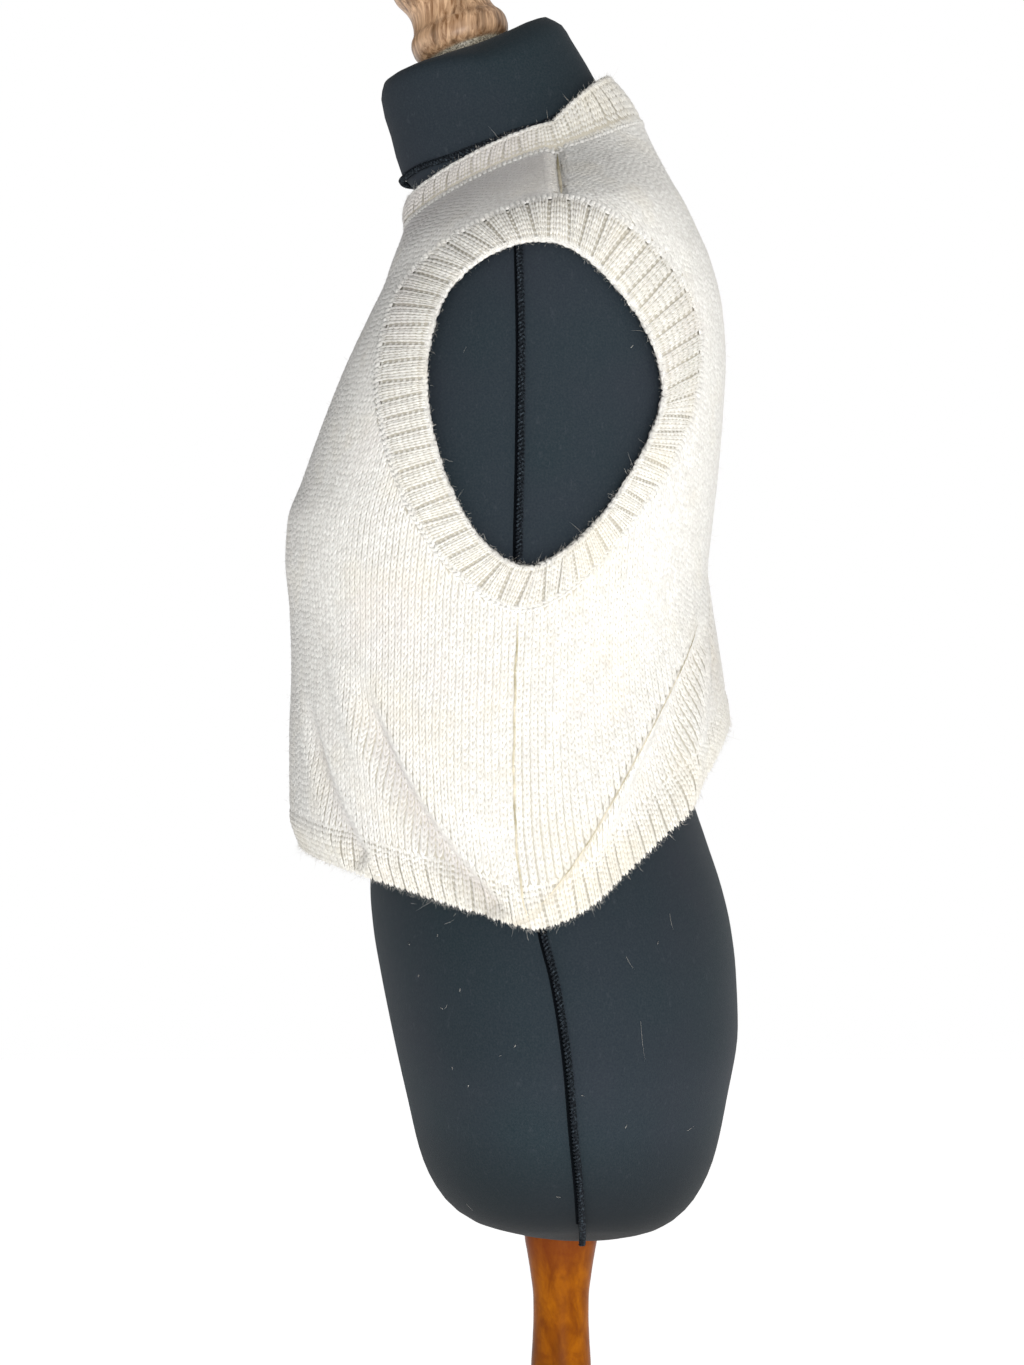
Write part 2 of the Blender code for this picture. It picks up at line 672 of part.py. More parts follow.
def neckband(name, knit):
    shell = Shell()
    top = dict(zip(COLUMNS, NECKBAND_TOP))
    coarse = neckline_angles()
    bottom_at = {key: curve(NECK_LEVEL) for key, curve in body.curves.items()}

    def band_point(angle, across):
        low = ring_point(angle, bottom_at)
        high = ring_point(angle, top, NECKBAND_SLANTS)
        return low + (high - low) * across

    def band_normal(angle, across):
        """At its seam the band's wall stands as the panels' does, so that their edges meet."""
        small = 0.001
        round_it = band_point(angle + small, BAND_MIDDLE) - band_point(angle - small, BAND_MIDDLE)
        own = np.cross(round_it, band_point(angle, 1.0) - band_point(angle, 0.0))
        own /= np.linalg.norm(own, axis=-1, keepdims=True)
        share = min(1, across / BAND_MIDDLE)
        mixed = body.normal(angle, NECK_LEVEL) * (1 - share) + own * share
        return mixed / np.linalg.norm(mixed, axis=-1, keepdims=True)

    def ring(angle, across, out):
        if across < BAND_MIDDLE and len(angle) > len(coarse):
            at = np.append(coarse, 2 * math.pi)
            corners = band_point(at, across)
            points = np.stack([np.interp(angle, at, corners[:, axis]) for axis in range(3)], -1)
        else:
            points = band_point(angle, across)
        return shell.row(points + band_normal(angle, across) * np.asarray(out)[..., None])

    dense = np.linspace(0, 2 * math.pi, 6 * DENSE + 1)
    count = NECK_RIBS * len(RIB_SHAPE)
    fine = 2 * math.pi * even(band_point(dense, BAND_MIDDLE), count)[:-1]
    rise = rib_heights(NECK_RIBS)[:-1]
    rings = [
        ring(coarse, NECK_SEAM, 0 * coarse),
        ring(fine, RIB_START, rise),
        ring(fine, 1.0, rise),
        ring(coarse, 1.0, 0 * coarse - WALL),
        ring(coarse, NECK_SEAM, 0 * coarse - WALL),
    ]
    for low, high in zip(rings, rings[1:] + rings[:1]):
        shell.stitch(low, high, closed=True)
    return shell.build(name, knit)


# The dress form


def under_cloth():
    """The body's rings, moved in to where the form carries the cloth."""
    rows = np.array(BODY)
    level, half_width, side_y, front_z, front_y, back_z, back_y, fullness = rows.T
    eased = [Curve(*np.array(FORM_EASE)[:, [0, column]].T) for column in (1, 2, 3)]
    ease_front, ease_side, ease_back = [ease(level) for ease in eased]

    def moved_in(out, up, ease):
        run, rise = np.gradient(out), np.gradient(up)
        length = np.hypot(run, rise)
        return out - ease * rise / length, up + ease * run / length

    half_width, level_in = moved_in(half_width, level, ease_side)
    front_out, front_z = moved_in(-front_y, front_z, ease_front)
    back_y, back_z = moved_in(back_y, back_z, ease_back)
    made = np.stack([level_in, half_width, side_y, front_z, -front_out, back_z, back_y, fullness], -1)
    return [tuple(row) for row, lowest in zip(made, level) if lowest > UNDERARM_LEVEL]


def form_loft():
    return Loft(FORM_LOW + under_cloth() + FORM_NECK)


def seat_height(y):
    middle_y, middle_z, slope = FINIAL_SEAT
    return middle_z + (y - middle_y) * slope


def form_torso(name, loft, jersey):
    shell = Shell()
    angles = np.linspace(0, 2 * math.pi, FORM_COLUMNS + 1)[:-1]
    rings = []
    half_width, half_depth, centre_y = TORSO_FLAT
    flat = np.stack([half_width * np.sin(angles), centre_y - half_depth * np.cos(angles)], -1)
    rings.append(shell.row([(x, y, TORSO_BOTTOM) for x, y in flat]))
    levels = list(loft.curves["level"].places[:-1])
    for level in levels:
        rings.append(shell.row(loft.point(angles, np.full(FORM_COLUMNS, level))))
    rim = loft.point(angles, np.full(FORM_COLUMNS, loft.curves["level"].places[-1]))
    seat = [0, FINIAL_SEAT[0]] + (rim[:, :2] - [0, FINIAL_SEAT[0]]) * TORSO_TOP_SHARE
    rings += [shell.row(rim), shell.row([(x, y, seat_height(y)) for x, y in seat])]
    for low, high in zip(rings, rings[1:]):
        shell.stitch(low, high, closed=True)
    shell.fan(rings[0], (0, centre_y, TORSO_BOTTOM), upward=False)
    shell.fan(rings[-1], (0, *FINIAL_SEAT[:2]), upward=True)
    return shell.build(name, jersey)


def tube(name, path, outward, dark, closed=False):
    """A thin cord along a path. outward is the direction away from what it lies on."""
    shell = Shell()
    path = np.array(path)
    if closed:
        ahead = np.roll(path, -1, 0) - np.roll(path, 1, 0)
    else:
        ahead = np.gradient(path, axis=0)
    ahead /= np.linalg.norm(ahead, axis=1)[:, None]
    out = outward - (outward * ahead).sum(1)[:, None] * ahead
    out /= np.linalg.norm(out, axis=1)[:, None]
    aside = np.cross(ahead, out)
    turns = 2 * math.pi * np.arange(PIPING_SIDES) / PIPING_SIDES
    rings = []
    for place, up, right in zip(path, out, aside):
        ring = [place + PIPING_RADIUS * (math.cos(t) * up + math.sin(t) * right) for t in turns]
        rings.append(shell.row(ring))
    following = rings[1:] + rings[:1] if closed else rings[1:]
    for low, high in zip(rings, following):
        shell.stitch(low, high, closed=True)
    if not closed:
        shell.fan(rings[0], path[0], upward=False)
        shell.fan(rings[-1], path[-1], upward=True)
    return shell.build(name, dark)


def side_piping(name, loft, side, dark):
    """The cord lies on the form's side seam."""
    ys, zs = np.array(SIDE_PIPING[::-1]).T
    wanted = Curve(zs, ys)
    rings = loft.curves["level"].places
    rings = rings[(rings > zs[0]) & (rings < zs[-1])]
    level = np.concatenate([[zs[0]], rings, [zs[-1]]])
    near = np.radians(np.linspace(60, 120, DENSE + 1))
    angle = [np.interp(wanted(at), loft.point(near, at)[:, 1], near) for at in level]
    angle = np.array(angle)
    out = loft.normal(angle, level)
    path = loft.point(angle, level) + out * (PIPING_RADIUS + SEAM_GAP)
    return tube(name, path * [side, 1, 1], out * [side, 1, 1], dark)


def neck_piping(name, loft, dark):
    angles = np.linspace(0, 2 * math.pi, NECK_PIPING_STEPS + 1)[:-1]
    turns, levels = np.array(NECK_PIPING).T
    level = Curve(np.radians(turns), levels)(np.minimum(angles, 2 * math.pi - angles))
    out = loft.normal(angles, level)
    path = loft.point(angles, level) + out * (PIPING_RADIUS + NECK_PIPING_GAP)
    return tube(name, path, out, dark, closed=True)


# Turned wood


def turned(name, profile, segments, wood):
    shell = Shell()
    turns = 2 * math.pi * np.arange(segments) / segments
    rings = []
    for radius, height in profile:
        ring = [(radius * math.cos(t), radius * math.sin(t), height) for t in turns]
        rings.append(shell.row(ring))
    for low, high in zip(rings, rings[1:]):
        shell.stitch(low, high, closed=True)
    shell.fan(rings[0], (0, 0, profile[0][1]), upward=False)
    shell.fan(rings[-1], (0, 0, profile[-1][1]), upward=True)
    return shell.build(name, wood)


def finial(name, wood):
    """The neck cap stands square on the slanted neck."""
    made = turned(name, FINIAL, FINIAL_SEGMENTS, wood)
    made.location = (0, *FINIAL_SEAT[:2])
    made.rotation_euler = (math.atan(FINIAL_SEAT[2]), 0, 0)
    return made


def main():
    clear_scene()
    cream = material("cream_knit", (0.74, 0.68, 0.60), 0.95)
    jersey = material("dark_jersey", (0.030, 0.042, 0.052), 0.85)
    piping = material("dark_piping", (0.012, 0.013, 0.016), 0.70)
    pale_wood = material("neck_cap_wood", (0.36, 0.20, 0.10), 0.50)
    stained_wood = material("stained_wood", (0.30, 0.11, 0.03), 0.30)
    panel("front", FRONT, cream)
    panel("back", BACK, cream)
    neckband("neckband", cream)
    armhole_band("armhole_band_left", LEFT, cream)
    armhole_band("armhole_band_right", RIGHT, cream)
    loft = form_loft()
    form_torso("form_torso", loft, jersey)
    side_piping("side_piping_left", loft, LEFT, piping)
    side_piping("side_piping_right", loft, RIGHT, piping)
    neck_piping("neck_piping", loft, piping)
    finial("finial", pale_wood)
    turned("post", POST, POST_SEGMENTS, stained_wood)
    turned("base", BASE, BASE_SEGMENTS, stained_wood)


main()
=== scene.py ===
import math

import bmesh
import bpy
import numpy as np
from mathutils import Euler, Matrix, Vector


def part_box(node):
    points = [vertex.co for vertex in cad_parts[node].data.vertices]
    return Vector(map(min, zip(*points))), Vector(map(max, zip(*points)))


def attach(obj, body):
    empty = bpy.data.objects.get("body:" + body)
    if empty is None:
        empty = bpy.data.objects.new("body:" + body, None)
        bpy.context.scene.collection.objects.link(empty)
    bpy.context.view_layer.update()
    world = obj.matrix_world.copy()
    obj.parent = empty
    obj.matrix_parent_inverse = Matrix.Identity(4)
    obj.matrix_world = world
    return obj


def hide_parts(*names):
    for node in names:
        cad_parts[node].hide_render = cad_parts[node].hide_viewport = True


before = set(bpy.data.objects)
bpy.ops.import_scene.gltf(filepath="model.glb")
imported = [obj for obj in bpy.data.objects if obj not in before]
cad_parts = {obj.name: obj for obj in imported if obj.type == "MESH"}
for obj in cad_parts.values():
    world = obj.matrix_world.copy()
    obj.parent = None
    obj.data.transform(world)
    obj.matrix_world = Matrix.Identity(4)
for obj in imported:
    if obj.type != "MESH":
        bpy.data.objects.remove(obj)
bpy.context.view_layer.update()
print("frame loaded")

scene = bpy.context.scene
quarterTurn = math.pi / 2
wholeTurn = 2 * math.pi


# curves and rings

def smoothCurve(places, values, slopes=None):
    # a curve through known values that makes no bumps of its own
    places, values = np.array(places, float), np.array(values, float)
    step = np.diff(places)
    if slopes is None:
        slope = np.diff(values) / step
        slopes = np.empty_like(values)
        slopes[0], slopes[-1] = slope[0], slope[-1]
        near, far = slope[:-1], slope[1:]
        wideNear, wideFar = 2 * step[1:] + step[:-1], step[1:] + 2 * step[:-1]
        same = near * far > 0
        near, far = np.where(same, near, 1), np.where(same, far, 1)
        mean = (wideNear + wideFar) / (wideNear / near + wideFar / far)
        slopes[1:-1] = np.where(same, mean, 0)

    def at(place):
        place = np.clip(place, places[0], places[-1])
        index = np.clip(np.searchsorted(places, place) - 1, 0, len(places) - 2)
        gap = places[index + 1] - places[index]
        t = (place - places[index]) / gap
        low, high = values[index], values[index + 1]
        rest = (high - low) * t * t * (3 - 2 * t)
        leave, arrive = slopes[index] * gap * t * (1 - t) ** 2, slopes[index + 1] * gap * t * t * (1 - t)
        return low + rest + leave - arrive

    return at


def roundedCurve(places, values):
    return smoothCurve(places, values, np.gradient(np.array(values, float), np.array(places, float)))


def unit(vectors):
    return vectors / np.maximum(np.linalg.norm(vectors, axis=-1, keepdims=True), 1e-12)


def runAlong(points):
    # length along a row of points, from 0
    return np.concatenate([[0], np.cumsum(np.linalg.norm(np.diff(points, axis=0), axis=-1))])


ringColumns = "level halfWidth sideY frontZ frontY backZ backY fullness".split()
slants = [
    # level, front, back: how a ring's height runs from its side to its middle
    (0.8800, 1.25, 1.45), (0.9455, 0.88, 1.75), (0.9665, 0.90, 1.72), (1.0050, 0.95, 1.60),
    (1.0470, 1.10, 1.50), (1.1170, 1.25, 1.45),
]
frontSlants, backSlants = [smoothCurve(*np.array(slants)[:, [0, k]].T) for k in (1, 2)]


def ringPoint(angle, at, ownSlants=None):
    # angle runs from the centre front, positive to the wearer's left
    frontSlant, backSlant = ownSlants or (frontSlants(at["level"]), backSlants(at["level"]))
    side, ahead = np.sin(angle), np.cos(angle)
    power = at["fullness"]
    reach = (np.abs(side) ** power + np.abs(ahead) ** power) ** (-1 / power)
    side, ahead = side * reach, ahead * reach
    front = ahead > 0
    depth = np.where(front, at["sideY"] - at["frontY"], at["backY"] - at["sideY"])
    lift = np.where(front, at["frontZ"], at["backZ"]) - at["level"]
    y = at["sideY"] - ahead * depth
    z = at["level"] + lift * np.abs(ahead) ** np.where(front, frontSlant, backSlant)
    return np.stack([at["halfWidth"] * side, y, z], -1)


def makeLoft(rows):
    levels = [row[0] for row in rows]
    curves = {name: smoothCurve(levels, column) for name, column in zip(ringColumns, zip(*rows))}

    def point(angle, level):
        angle, level = np.broadcast_arrays(angle, level)
        return ringPoint(angle, {name: curve(level) for name, curve in curves.items()})

    return point, curves


def surfaceNormal(point, angle, level, lowest, highest, small=0.0004):
    around = point(angle + small, level) - point(angle - small, level)
    above, below = np.minimum(level + small, highest), np.maximum(level - small, lowest)
    along = point(angle, above) - point(angle, below)
    return unit(np.cross(around, along))


# the worn cloth

hemLevel, underarmLevel, tipLevel, neckLevel = 0.9455, 1.1170, 1.3425, 1.3848

bodyRings = [
    # level, half width, side y, front z, front y, back z, back y, fullness
    (0.9455, 0.1745, -0.0200, 0.983, -0.1550, 1.056, 0.0990, 2.30),
    (0.9665, 0.1772, -0.0240, 1.004, -0.1612, 1.074, 0.0970, 2.30),
    (1.0050, 0.1780, -0.0280, 1.044, -0.1614, 1.101, 0.0930, 2.30),
    (1.0470, 0.1765, -0.0285, 1.086, -0.1602, 1.126, 0.0890, 2.30),
    (1.0830, 0.1745, -0.0275, 1.120, -0.1612, 1.146, 0.0868, 2.30),
    (1.1170, 0.1728, -0.0262, 1.150, -0.1638, 1.168, 0.0890, 2.30),
    (1.1500, 0.1718, -0.0245, 1.172, -0.1626, 1.198, 0.0924, 2.30),
    (1.1900, 0.1712, -0.0220, 1.197, -0.1537, 1.236, 0.0956, 2.30),
    (1.2350, 0.1706, -0.0180, 1.230, -0.1416, 1.268, 0.0972, 2.30),
    (1.2750, 0.1695, -0.0130, 1.262, -0.1286, 1.297, 0.0952, 2.30),
    (1.3060, 0.1665, -0.0080, 1.292, -0.1145, 1.325, 0.0882, 2.28),
    (1.3265, 0.1600, -0.0050, 1.311, -0.1056, 1.343, 0.0805, 2.25),
    (1.3395, 0.1500, -0.0035, 1.322, -0.1022, 1.3565, 0.0745, 2.22),
    (1.3515, 0.1320, -0.0030, 1.331, -0.0992, 1.370, 0.0675, 2.20),
    (1.3645, 0.1080, -0.0035, 1.339, -0.0967, 1.384, 0.0608, 2.15),
    (1.3760, 0.0850, -0.0040, 1.345, -0.0950, 1.398, 0.0545, 2.10),
    (1.3848, 0.0680, -0.0041, 1.350, -0.0936, 1.411, 0.0490, 2.05),
]
bodyPoint, bodyCurves = makeLoft(bodyRings)

# Soft ridges and troughs on the wearer's left (1) or right (-1). girth is the length round the
# body from the side seam, positive to the front; bow bends the line's middle forwards; ahead and
# behind are its half widths; a fade is the share over which an end dies away.
folds = [
    # side, top girth, top level, low girth, low level, bow, ahead, behind, rise, fade top, fade low
    (1, -0.172, 1.058, 0.002, 0.954, 0.003, 0.040, 0.0060, 0.0034, 0.30, 0.00),
    (1, -0.186, 1.040, -0.030, 0.944, 0.002, 0.020, 0.046, -0.0080, 0.35, 0.20),
    (1, -0.186, 1.032, -0.120, 0.950, 0.000, 0.020, 0.026, 0.0045, 0.30, 0.00),
    (1, 0.100, 1.066, 0.012, 0.948, 0.011, 0.018, 0.011, -0.0080, 0.40, 0.06),
    (1, 0.162, 1.038, 0.098, 0.950, 0.003, 0.018, 0.015, -0.0052, 0.35, 0.10),
    (1, 0.060, 1.075, 0.006, 0.972, 0.000, 0.020, 0.018, 0.0026, 0.40, 0.30),
    (1, 0.128, 1.080, 0.078, 0.990, 0.004, 0.013, 0.015, 0.0020, 0.40, 0.40),
    (1, -0.060, 1.095, -0.020, 1.020, 0.004, 0.014, 0.016, -0.0012, 0.45, 0.45),
    (1, -0.215, 1.090, -0.178, 0.985, -0.005, 0.016, 0.014, -0.0030, 0.40, 0.30),
    (-1, -0.136, 1.065, -0.012, 0.955, -0.006, 0.038, 0.0060, 0.0046, 0.35, 0.05),
    (-1, -0.161, 1.054, -0.038, 0.949, -0.006, 0.024, 0.042, -0.0070, 0.35, 0.20),
    (-1, -0.190, 1.050, -0.138, 0.955, 0.000, 0.020, 0.022, -0.0035, 0.35, 0.10),
    (-1, 0.084, 1.078, 0.036, 0.950, 0.000, 0.018, 0.015, -0.0055, 0.40, 0.08),
    (-1, 0.142, 1.026, 0.110, 0.950, 0.000, 0.017, 0.014, -0.0042, 0.35, 0.10),
    (-1, 0.026, 1.050, 0.004, 0.965, 0.000, 0.020, 0.018, 0.0026, 0.40, 0.20),
    (-1, 0.170, 1.085, 0.120, 1.010, 0.004, 0.014, 0.016, 0.0022, 0.40, 0.40),
    (-1, -0.220, 1.075, -0.186, 0.980, -0.004, 0.015, 0.015, -0.0028, 0.40, 0.30),
]

shoulderCrease = {"from": 1.330, "fade": 0.014, "halfWidth": 0.0070, "depth": 0.0032}
# painted shadow: a crisp fold gets a dark line along its sharp side
crispFold = 0.0065  # a fold whose sharp side is narrower than this shows a line
# amounts of painted shade: in troughs, along crisp folds, behind the lap and on the front of the shoulder
foldShade = {
    "full": 0.0080, "power": 1.6, "leastAtBack": 0.35, "backRun": 0.04,
    "lapGirth": -0.195, "lapHalfWidth": 0.060, "lapLevel": 1.000, "lapHalfHeight": 0.075,
    "lapLine": 0.42, "lapTrough": 0.0045,
    "yokeFrom": 1.322, "yokeFade": 0.045, "yokeRun": 0.006, "yokeTrough": 0.0070,
}

levelCells, turnCells = 60, 180
girthLevels = np.linspace(hemLevel, neckLevel, levelCells + 1)
girthAngles = np.linspace(0, math.pi, turnCells + 1)
girthRows = bodyPoint(girthAngles, girthLevels[:, None])
girthSteps = np.pad(np.cumsum(np.linalg.norm(np.diff(girthRows, axis=1), axis=-1), 1), ((0, 0), (1, 0)))
girthTable = girthSteps[:, turnCells // 2, None] - girthSteps


def girthOf(angle, level):
    # length round the body from the side seam, positive to the front, read from the table
    column = np.clip(np.abs(angle) / math.pi, 0, 1) * turnCells
    row = np.clip((level - hemLevel) / (neckLevel - hemLevel), 0, 1) * levelCells
    left, low = np.minimum(column.astype(int), turnCells - 1), np.minimum(row.astype(int), levelCells - 1)
    right, high = column - left, row - low
    lower = girthTable[low, left] * (1 - right) + girthTable[low, left + 1] * right
    upper = girthTable[low + 1, left] * (1 - right) + girthTable[low + 1, left + 1] * right
    return lower * (1 - high) + upper * high


def bell(share):
    return 0.5 + 0.5 * np.cos(math.pi * np.clip(share, -1, 1))


def foldParts(angle, level):
    # what each fold lifts, and the strength of the painted shadow line along it where it is a crisp one
    angle, level = np.broadcast_arrays(np.asarray(angle, float), level)
    girth = girthOf(angle, level)
    for side, topGirth, topLevel, lowGirth, lowLevel, bow, ahead, behind, rise, fadeTop, fadeLow in folds:
        line = np.array([lowGirth - topGirth, lowLevel - topLevel])
        length = np.hypot(*line)
        line = line / length
        awayGirth, awayLevel = girth - topGirth, level - topLevel
        along = (awayGirth * line[0] + awayLevel * line[1]) / length
        forward = awayLevel * line[0] - awayGirth * line[1] - bow * 4 * along * (1 - along)
        fade = np.ones(girth.shape)
        if fadeTop:
            fade = fade * bell(np.minimum(along / fadeTop - 1, 0))
        if fadeLow:
            fade = fade * bell(np.maximum((along - 1) / fadeLow + 1, 0))
        share = np.where(forward > 0, forward / ahead, forward / behind)
        fade = fade * (np.sin(angle) * side > 0)
        yield rise * bell(share) * fade, bell((share + 0.5) / 0.7) * fade * (behind < crispFold)


def foldRise(angle, level):
    angle, level = np.broadcast_arrays(np.asarray(angle, float), level)
    girth = girthOf(angle, level)
    total = sum(lifted for lifted, _ in foldParts(angle, level))
    shoulder = np.clip((level - shoulderCrease["from"]) / shoulderCrease["fade"], 0, 1)
    return total - shoulderCrease["depth"] * bell(girth / shoulderCrease["halfWidth"]) * shoulder


def foldTone(angle, level):
    # painted shade at each place: how deep it lies in a trough, how near the line of a crisp fold, and no rib
    girth = girthOf(angle, level)
    troughs = sum(np.maximum(-lifted, 0) for lifted, _ in foldParts(angle, level))
    tone = foldShade
    least, run = tone["leastAtBack"], tone["backRun"]
    troughs = troughs * np.clip(least + (1 - least) * (girth + run) / run, least, 1)
    lines = sum(line for _, line in foldParts(angle, level))
    # painted shade and a warmer painted shadow line on the cloth that turns away behind the lap
    behind = bell((girth - tone["lapGirth"]) / tone["lapHalfWidth"])
    behind = behind * bell((level - tone["lapLevel"]) / tone["lapHalfHeight"])
    lines, troughs = lines + tone["lapLine"] * behind, troughs + tone["lapTrough"] * behind
    # the front of the shoulder turns from the light
    yoke = np.clip((level - tone["yokeFrom"]) / tone["yokeFade"], 0, 1)
    troughs = troughs + tone["yokeTrough"] * yoke * np.clip(girth / tone["yokeRun"], 0, 1)
    deep = np.clip(troughs / tone["full"], 0, 1) ** tone["power"]
    return np.stack([deep, np.clip(lines, 0, 1), 0 * troughs], -1)


def foldLine(fold, count, aside):
    # angles and levels along a fold's own line, moved aside from it
    side, topGirth, topLevel, lowGirth, lowLevel, bow = fold[:6]
    line = np.array([lowGirth - topGirth, lowLevel - topLevel])
    line = line / np.hypot(*line)
    share = np.linspace(0.12, 1.0, count)
    forward = bow * 4 * share * (1 - share) + aside
    girth = topGirth + (lowGirth - topGirth) * share - line[1] * forward
    level = topLevel + (lowLevel - topLevel) * share + line[0] * forward
    dense = np.linspace(0.05, math.pi - 0.05, 400)
    angle = [np.interp(g, girthOf(dense, at)[::-1], dense[::-1]) for g, at in zip(girth, level)]
    return np.array(angle) * side, np.maximum(level, hemLevel + 0.001)


def bodyNormal(angle, level):
    return surfaceNormal(bodyPoint, angle, level, hemLevel, neckLevel)


def clothPoint(angle, level, out=0.0):
    rise = np.asarray(out)[..., None] + foldRise(angle, level)[..., None]
    return bodyPoint(angle, level) + bodyNormal(angle, level) * rise


def clothNormal(angle, level):
    return surfaceNormal(clothPoint, angle, level, hemLevel, neckLevel, 0.002)


# meshes

def meshObject(name, points, faces, materials=(), slots=None, smooth=True):
    mesh = bpy.data.meshes.new(name)
    mesh.from_pydata(np.asarray(points, float).tolist(), [], faces)
    for material in materials:
        mesh.materials.append(material)
    if slots is not None:
        mesh.polygons.foreach_set("material_index", np.array(slots, np.int32))
    if smooth:
        mesh.shade_smooth()
    mesh.validate()
    made = bpy.data.objects.new(name, mesh)
    scene.collection.objects.link(made)
    return made


def ringFaces(rows, columns):
    # closed rings, each above the last, fanned out to two poles whose points come after theirs;
    # seen from outside, a ring runs to the right
    index = np.arange(rows * columns).reshape(rows, columns)
    index = np.concatenate([index, index[:, :1]], 1)
    low, high = index[:-1], index[1:]
    faces = np.stack([low[:, :-1], low[:, 1:], high[:, 1:], high[:, :-1]], -1).reshape(-1, 4).tolist()
    for k in range(columns):
        faces.append([int(index[0, k + 1]), int(index[0, k]), rows * columns])
        faces.append([int(index[-1, k]), int(index[-1, k + 1]), rows * columns + 1])
    return faces


def joinRows(low, high, closed=False):
    # faces between two rows of vertices, whose counts may differ
    if closed:
        low, high = low + low[:1], high + high[:1]
    faces = []
    i = j = 0
    acrossLow, acrossHigh = len(low) - 1, len(high) - 1
    while i < acrossLow or j < acrossHigh:
        stepLow = (i + 1) * acrossHigh if i < acrossLow else math.inf
        stepHigh = (j + 1) * acrossLow if j < acrossHigh else math.inf
        if stepLow == stepHigh:
            faces.append([low[i], low[i + 1], high[j + 1], high[j]])
            i, j = i + 1, j + 1
        elif stepLow < stepHigh:
            faces.append([low[i], low[i + 1], high[j]])
            i += 1
        else:
            faces.append([low[i], high[j + 1], high[j]])
            j += 1
    return faces


def facedOutwards(piece):
    body = bmesh.new()
    body.from_mesh(piece.data)
    bmesh.ops.recalc_face_normals(body, faces=body.faces)
    body.to_mesh(piece.data)
    body.free()
    return piece


def clothWall(name, outer, edge, inner, materials, closed):
    # outer and inner rows run away from the free edge; the wall closes round its ends too
    rows, count = [], 0
    for points in outer[::-1] + [edge] + inner:
        rows.append(list(range(count, count + len(points))))
        count += len(points)
    faces, slots = [], []
    for number, (low, high) in enumerate(zip(rows, rows[1:] + rows[:1])):
        more = joinRows(low, high, closed)
        faces += more
        slots += [int(number >= len(outer))] * len(more)
    if not closed:
        for end in (0, -1):
            outerEnds = [row[end] for row in rows[len(outer)::-1]]
            innerEnds = [row[end] for row in rows[len(outer) + 1:]]
            more = joinRows(outerEnds, innerEnds)
            faces += more
            slots += [1] * len(more)
    points = np.concatenate(outer[::-1] + [edge] + inner)
    return facedOutwards(meshObject(name, points, faces, materials, slots))


def lens(stations):
    # a plump open-backed leaf through (x, y, half width, height); its ends are points
    stations = np.array(stations, float)
    ahead = unit(np.gradient(stations[:, :2], axis=0))
    aside = np.stack([ahead[:, 1], -ahead[:, 0]], -1)
    points, rings, faces = [], [], []
    for (x, y, half, height), (sideX, sideY) in zip(stations, aside):
        if half:
            outX, outY = sideX * half, sideY * half
            ring = [(x - outX, y - outY, 0), (x, y, height), (x + outX, y + outY, 0)]
        else:
            ring = [(x, y, 0)]
        rings.append(range(len(points), len(points) + len(ring)))
        points += ring
    for low, high in zip(rings, rings[1:]):
        for k in range(2):
            a, b = (low[k], low[k + 1]) if len(low) == 3 else (low[0], low[0])
            c, d = (high[k], high[k + 1]) if len(high) == 3 else (high[0], high[0])
            faces.append(list(dict.fromkeys((a, b, d, c))))
    return points, faces


def joinedLenses(name, leaves):
    points, faces = [], []
    for stations in leaves:
        morePoints, moreFaces = lens(stations)
        faces += [[v + len(points) for v in face] for face in moreFaces]
        points += morePoints
    made = meshObject(name, points, faces)
    for polygon in made.data.polygons:
        if polygon.normal.z < 0:
            polygon.flip()
    return made


# geometry nodes

def newTree(name, sockets):
    tree = bpy.data.node_groups.new(name, "GeometryNodeTree")
    tree.interface.new_socket("Geometry", in_out="INPUT", socket_type="NodeSocketGeometry")
    for label, kind, value in sockets:
        made = tree.interface.new_socket(label, in_out="INPUT", socket_type=kind)
        if value is not None:
            made.default_value = value
    tree.interface.new_socket("Geometry", in_out="OUTPUT", socket_type="NodeSocketGeometry")
    return tree, tree.nodes.new("NodeGroupInput"), tree.nodes.new("NodeGroupOutput")


def addNode(tree, kind, inputs=None, **settings):
    # inputs maps a socket's name to a value or to the output that feeds it
    node = tree.nodes.new(kind)
    for key, value in settings.items():
        setattr(node, key, value)
    for key, value in (inputs or {}).items():
        socket = next(s for s in node.inputs if s.name == key and s.enabled)
        if isinstance(value, bpy.types.NodeSocket):
            tree.links.new(value, socket)
        else:
            socket.default_value = value
    return node


def outOf(node, name=None):
    return next(s for s in node.outputs if s.enabled and (name is None or s.name == name))


def calculate(tree, operation, first, second, kind="ShaderNodeMath"):
    node = addNode(tree, kind, operation=operation)
    for socket, value in zip(node.inputs, (first, second)):
        if isinstance(value, bpy.types.NodeSocket):
            tree.links.new(value, socket)
        else:
            socket.default_value = value
    return outOf(node)


def grow(source, tree, values, name):
    # runs a tree on an object and returns its result as a plain mesh object in its place
    modifier = source.modifiers.new("grow", "NODES")
    modifier.node_group = tree
    for item in tree.interface.items_tree:
        if item.in_out == "INPUT" and item.name in values:
            modifier[item.identifier] = values[item.name]
    evaluated = source.evaluated_get(bpy.context.evaluated_depsgraph_get())
    mesh = bpy.data.meshes.new_from_object(evaluated)
    mesh.name = name
    old = source.data
    bpy.data.objects.remove(source, do_unlink=True)
    bpy.data.meshes.remove(old)
    made = bpy.data.objects.new(name, mesh)
    scene.collection.objects.link(made)
    return made


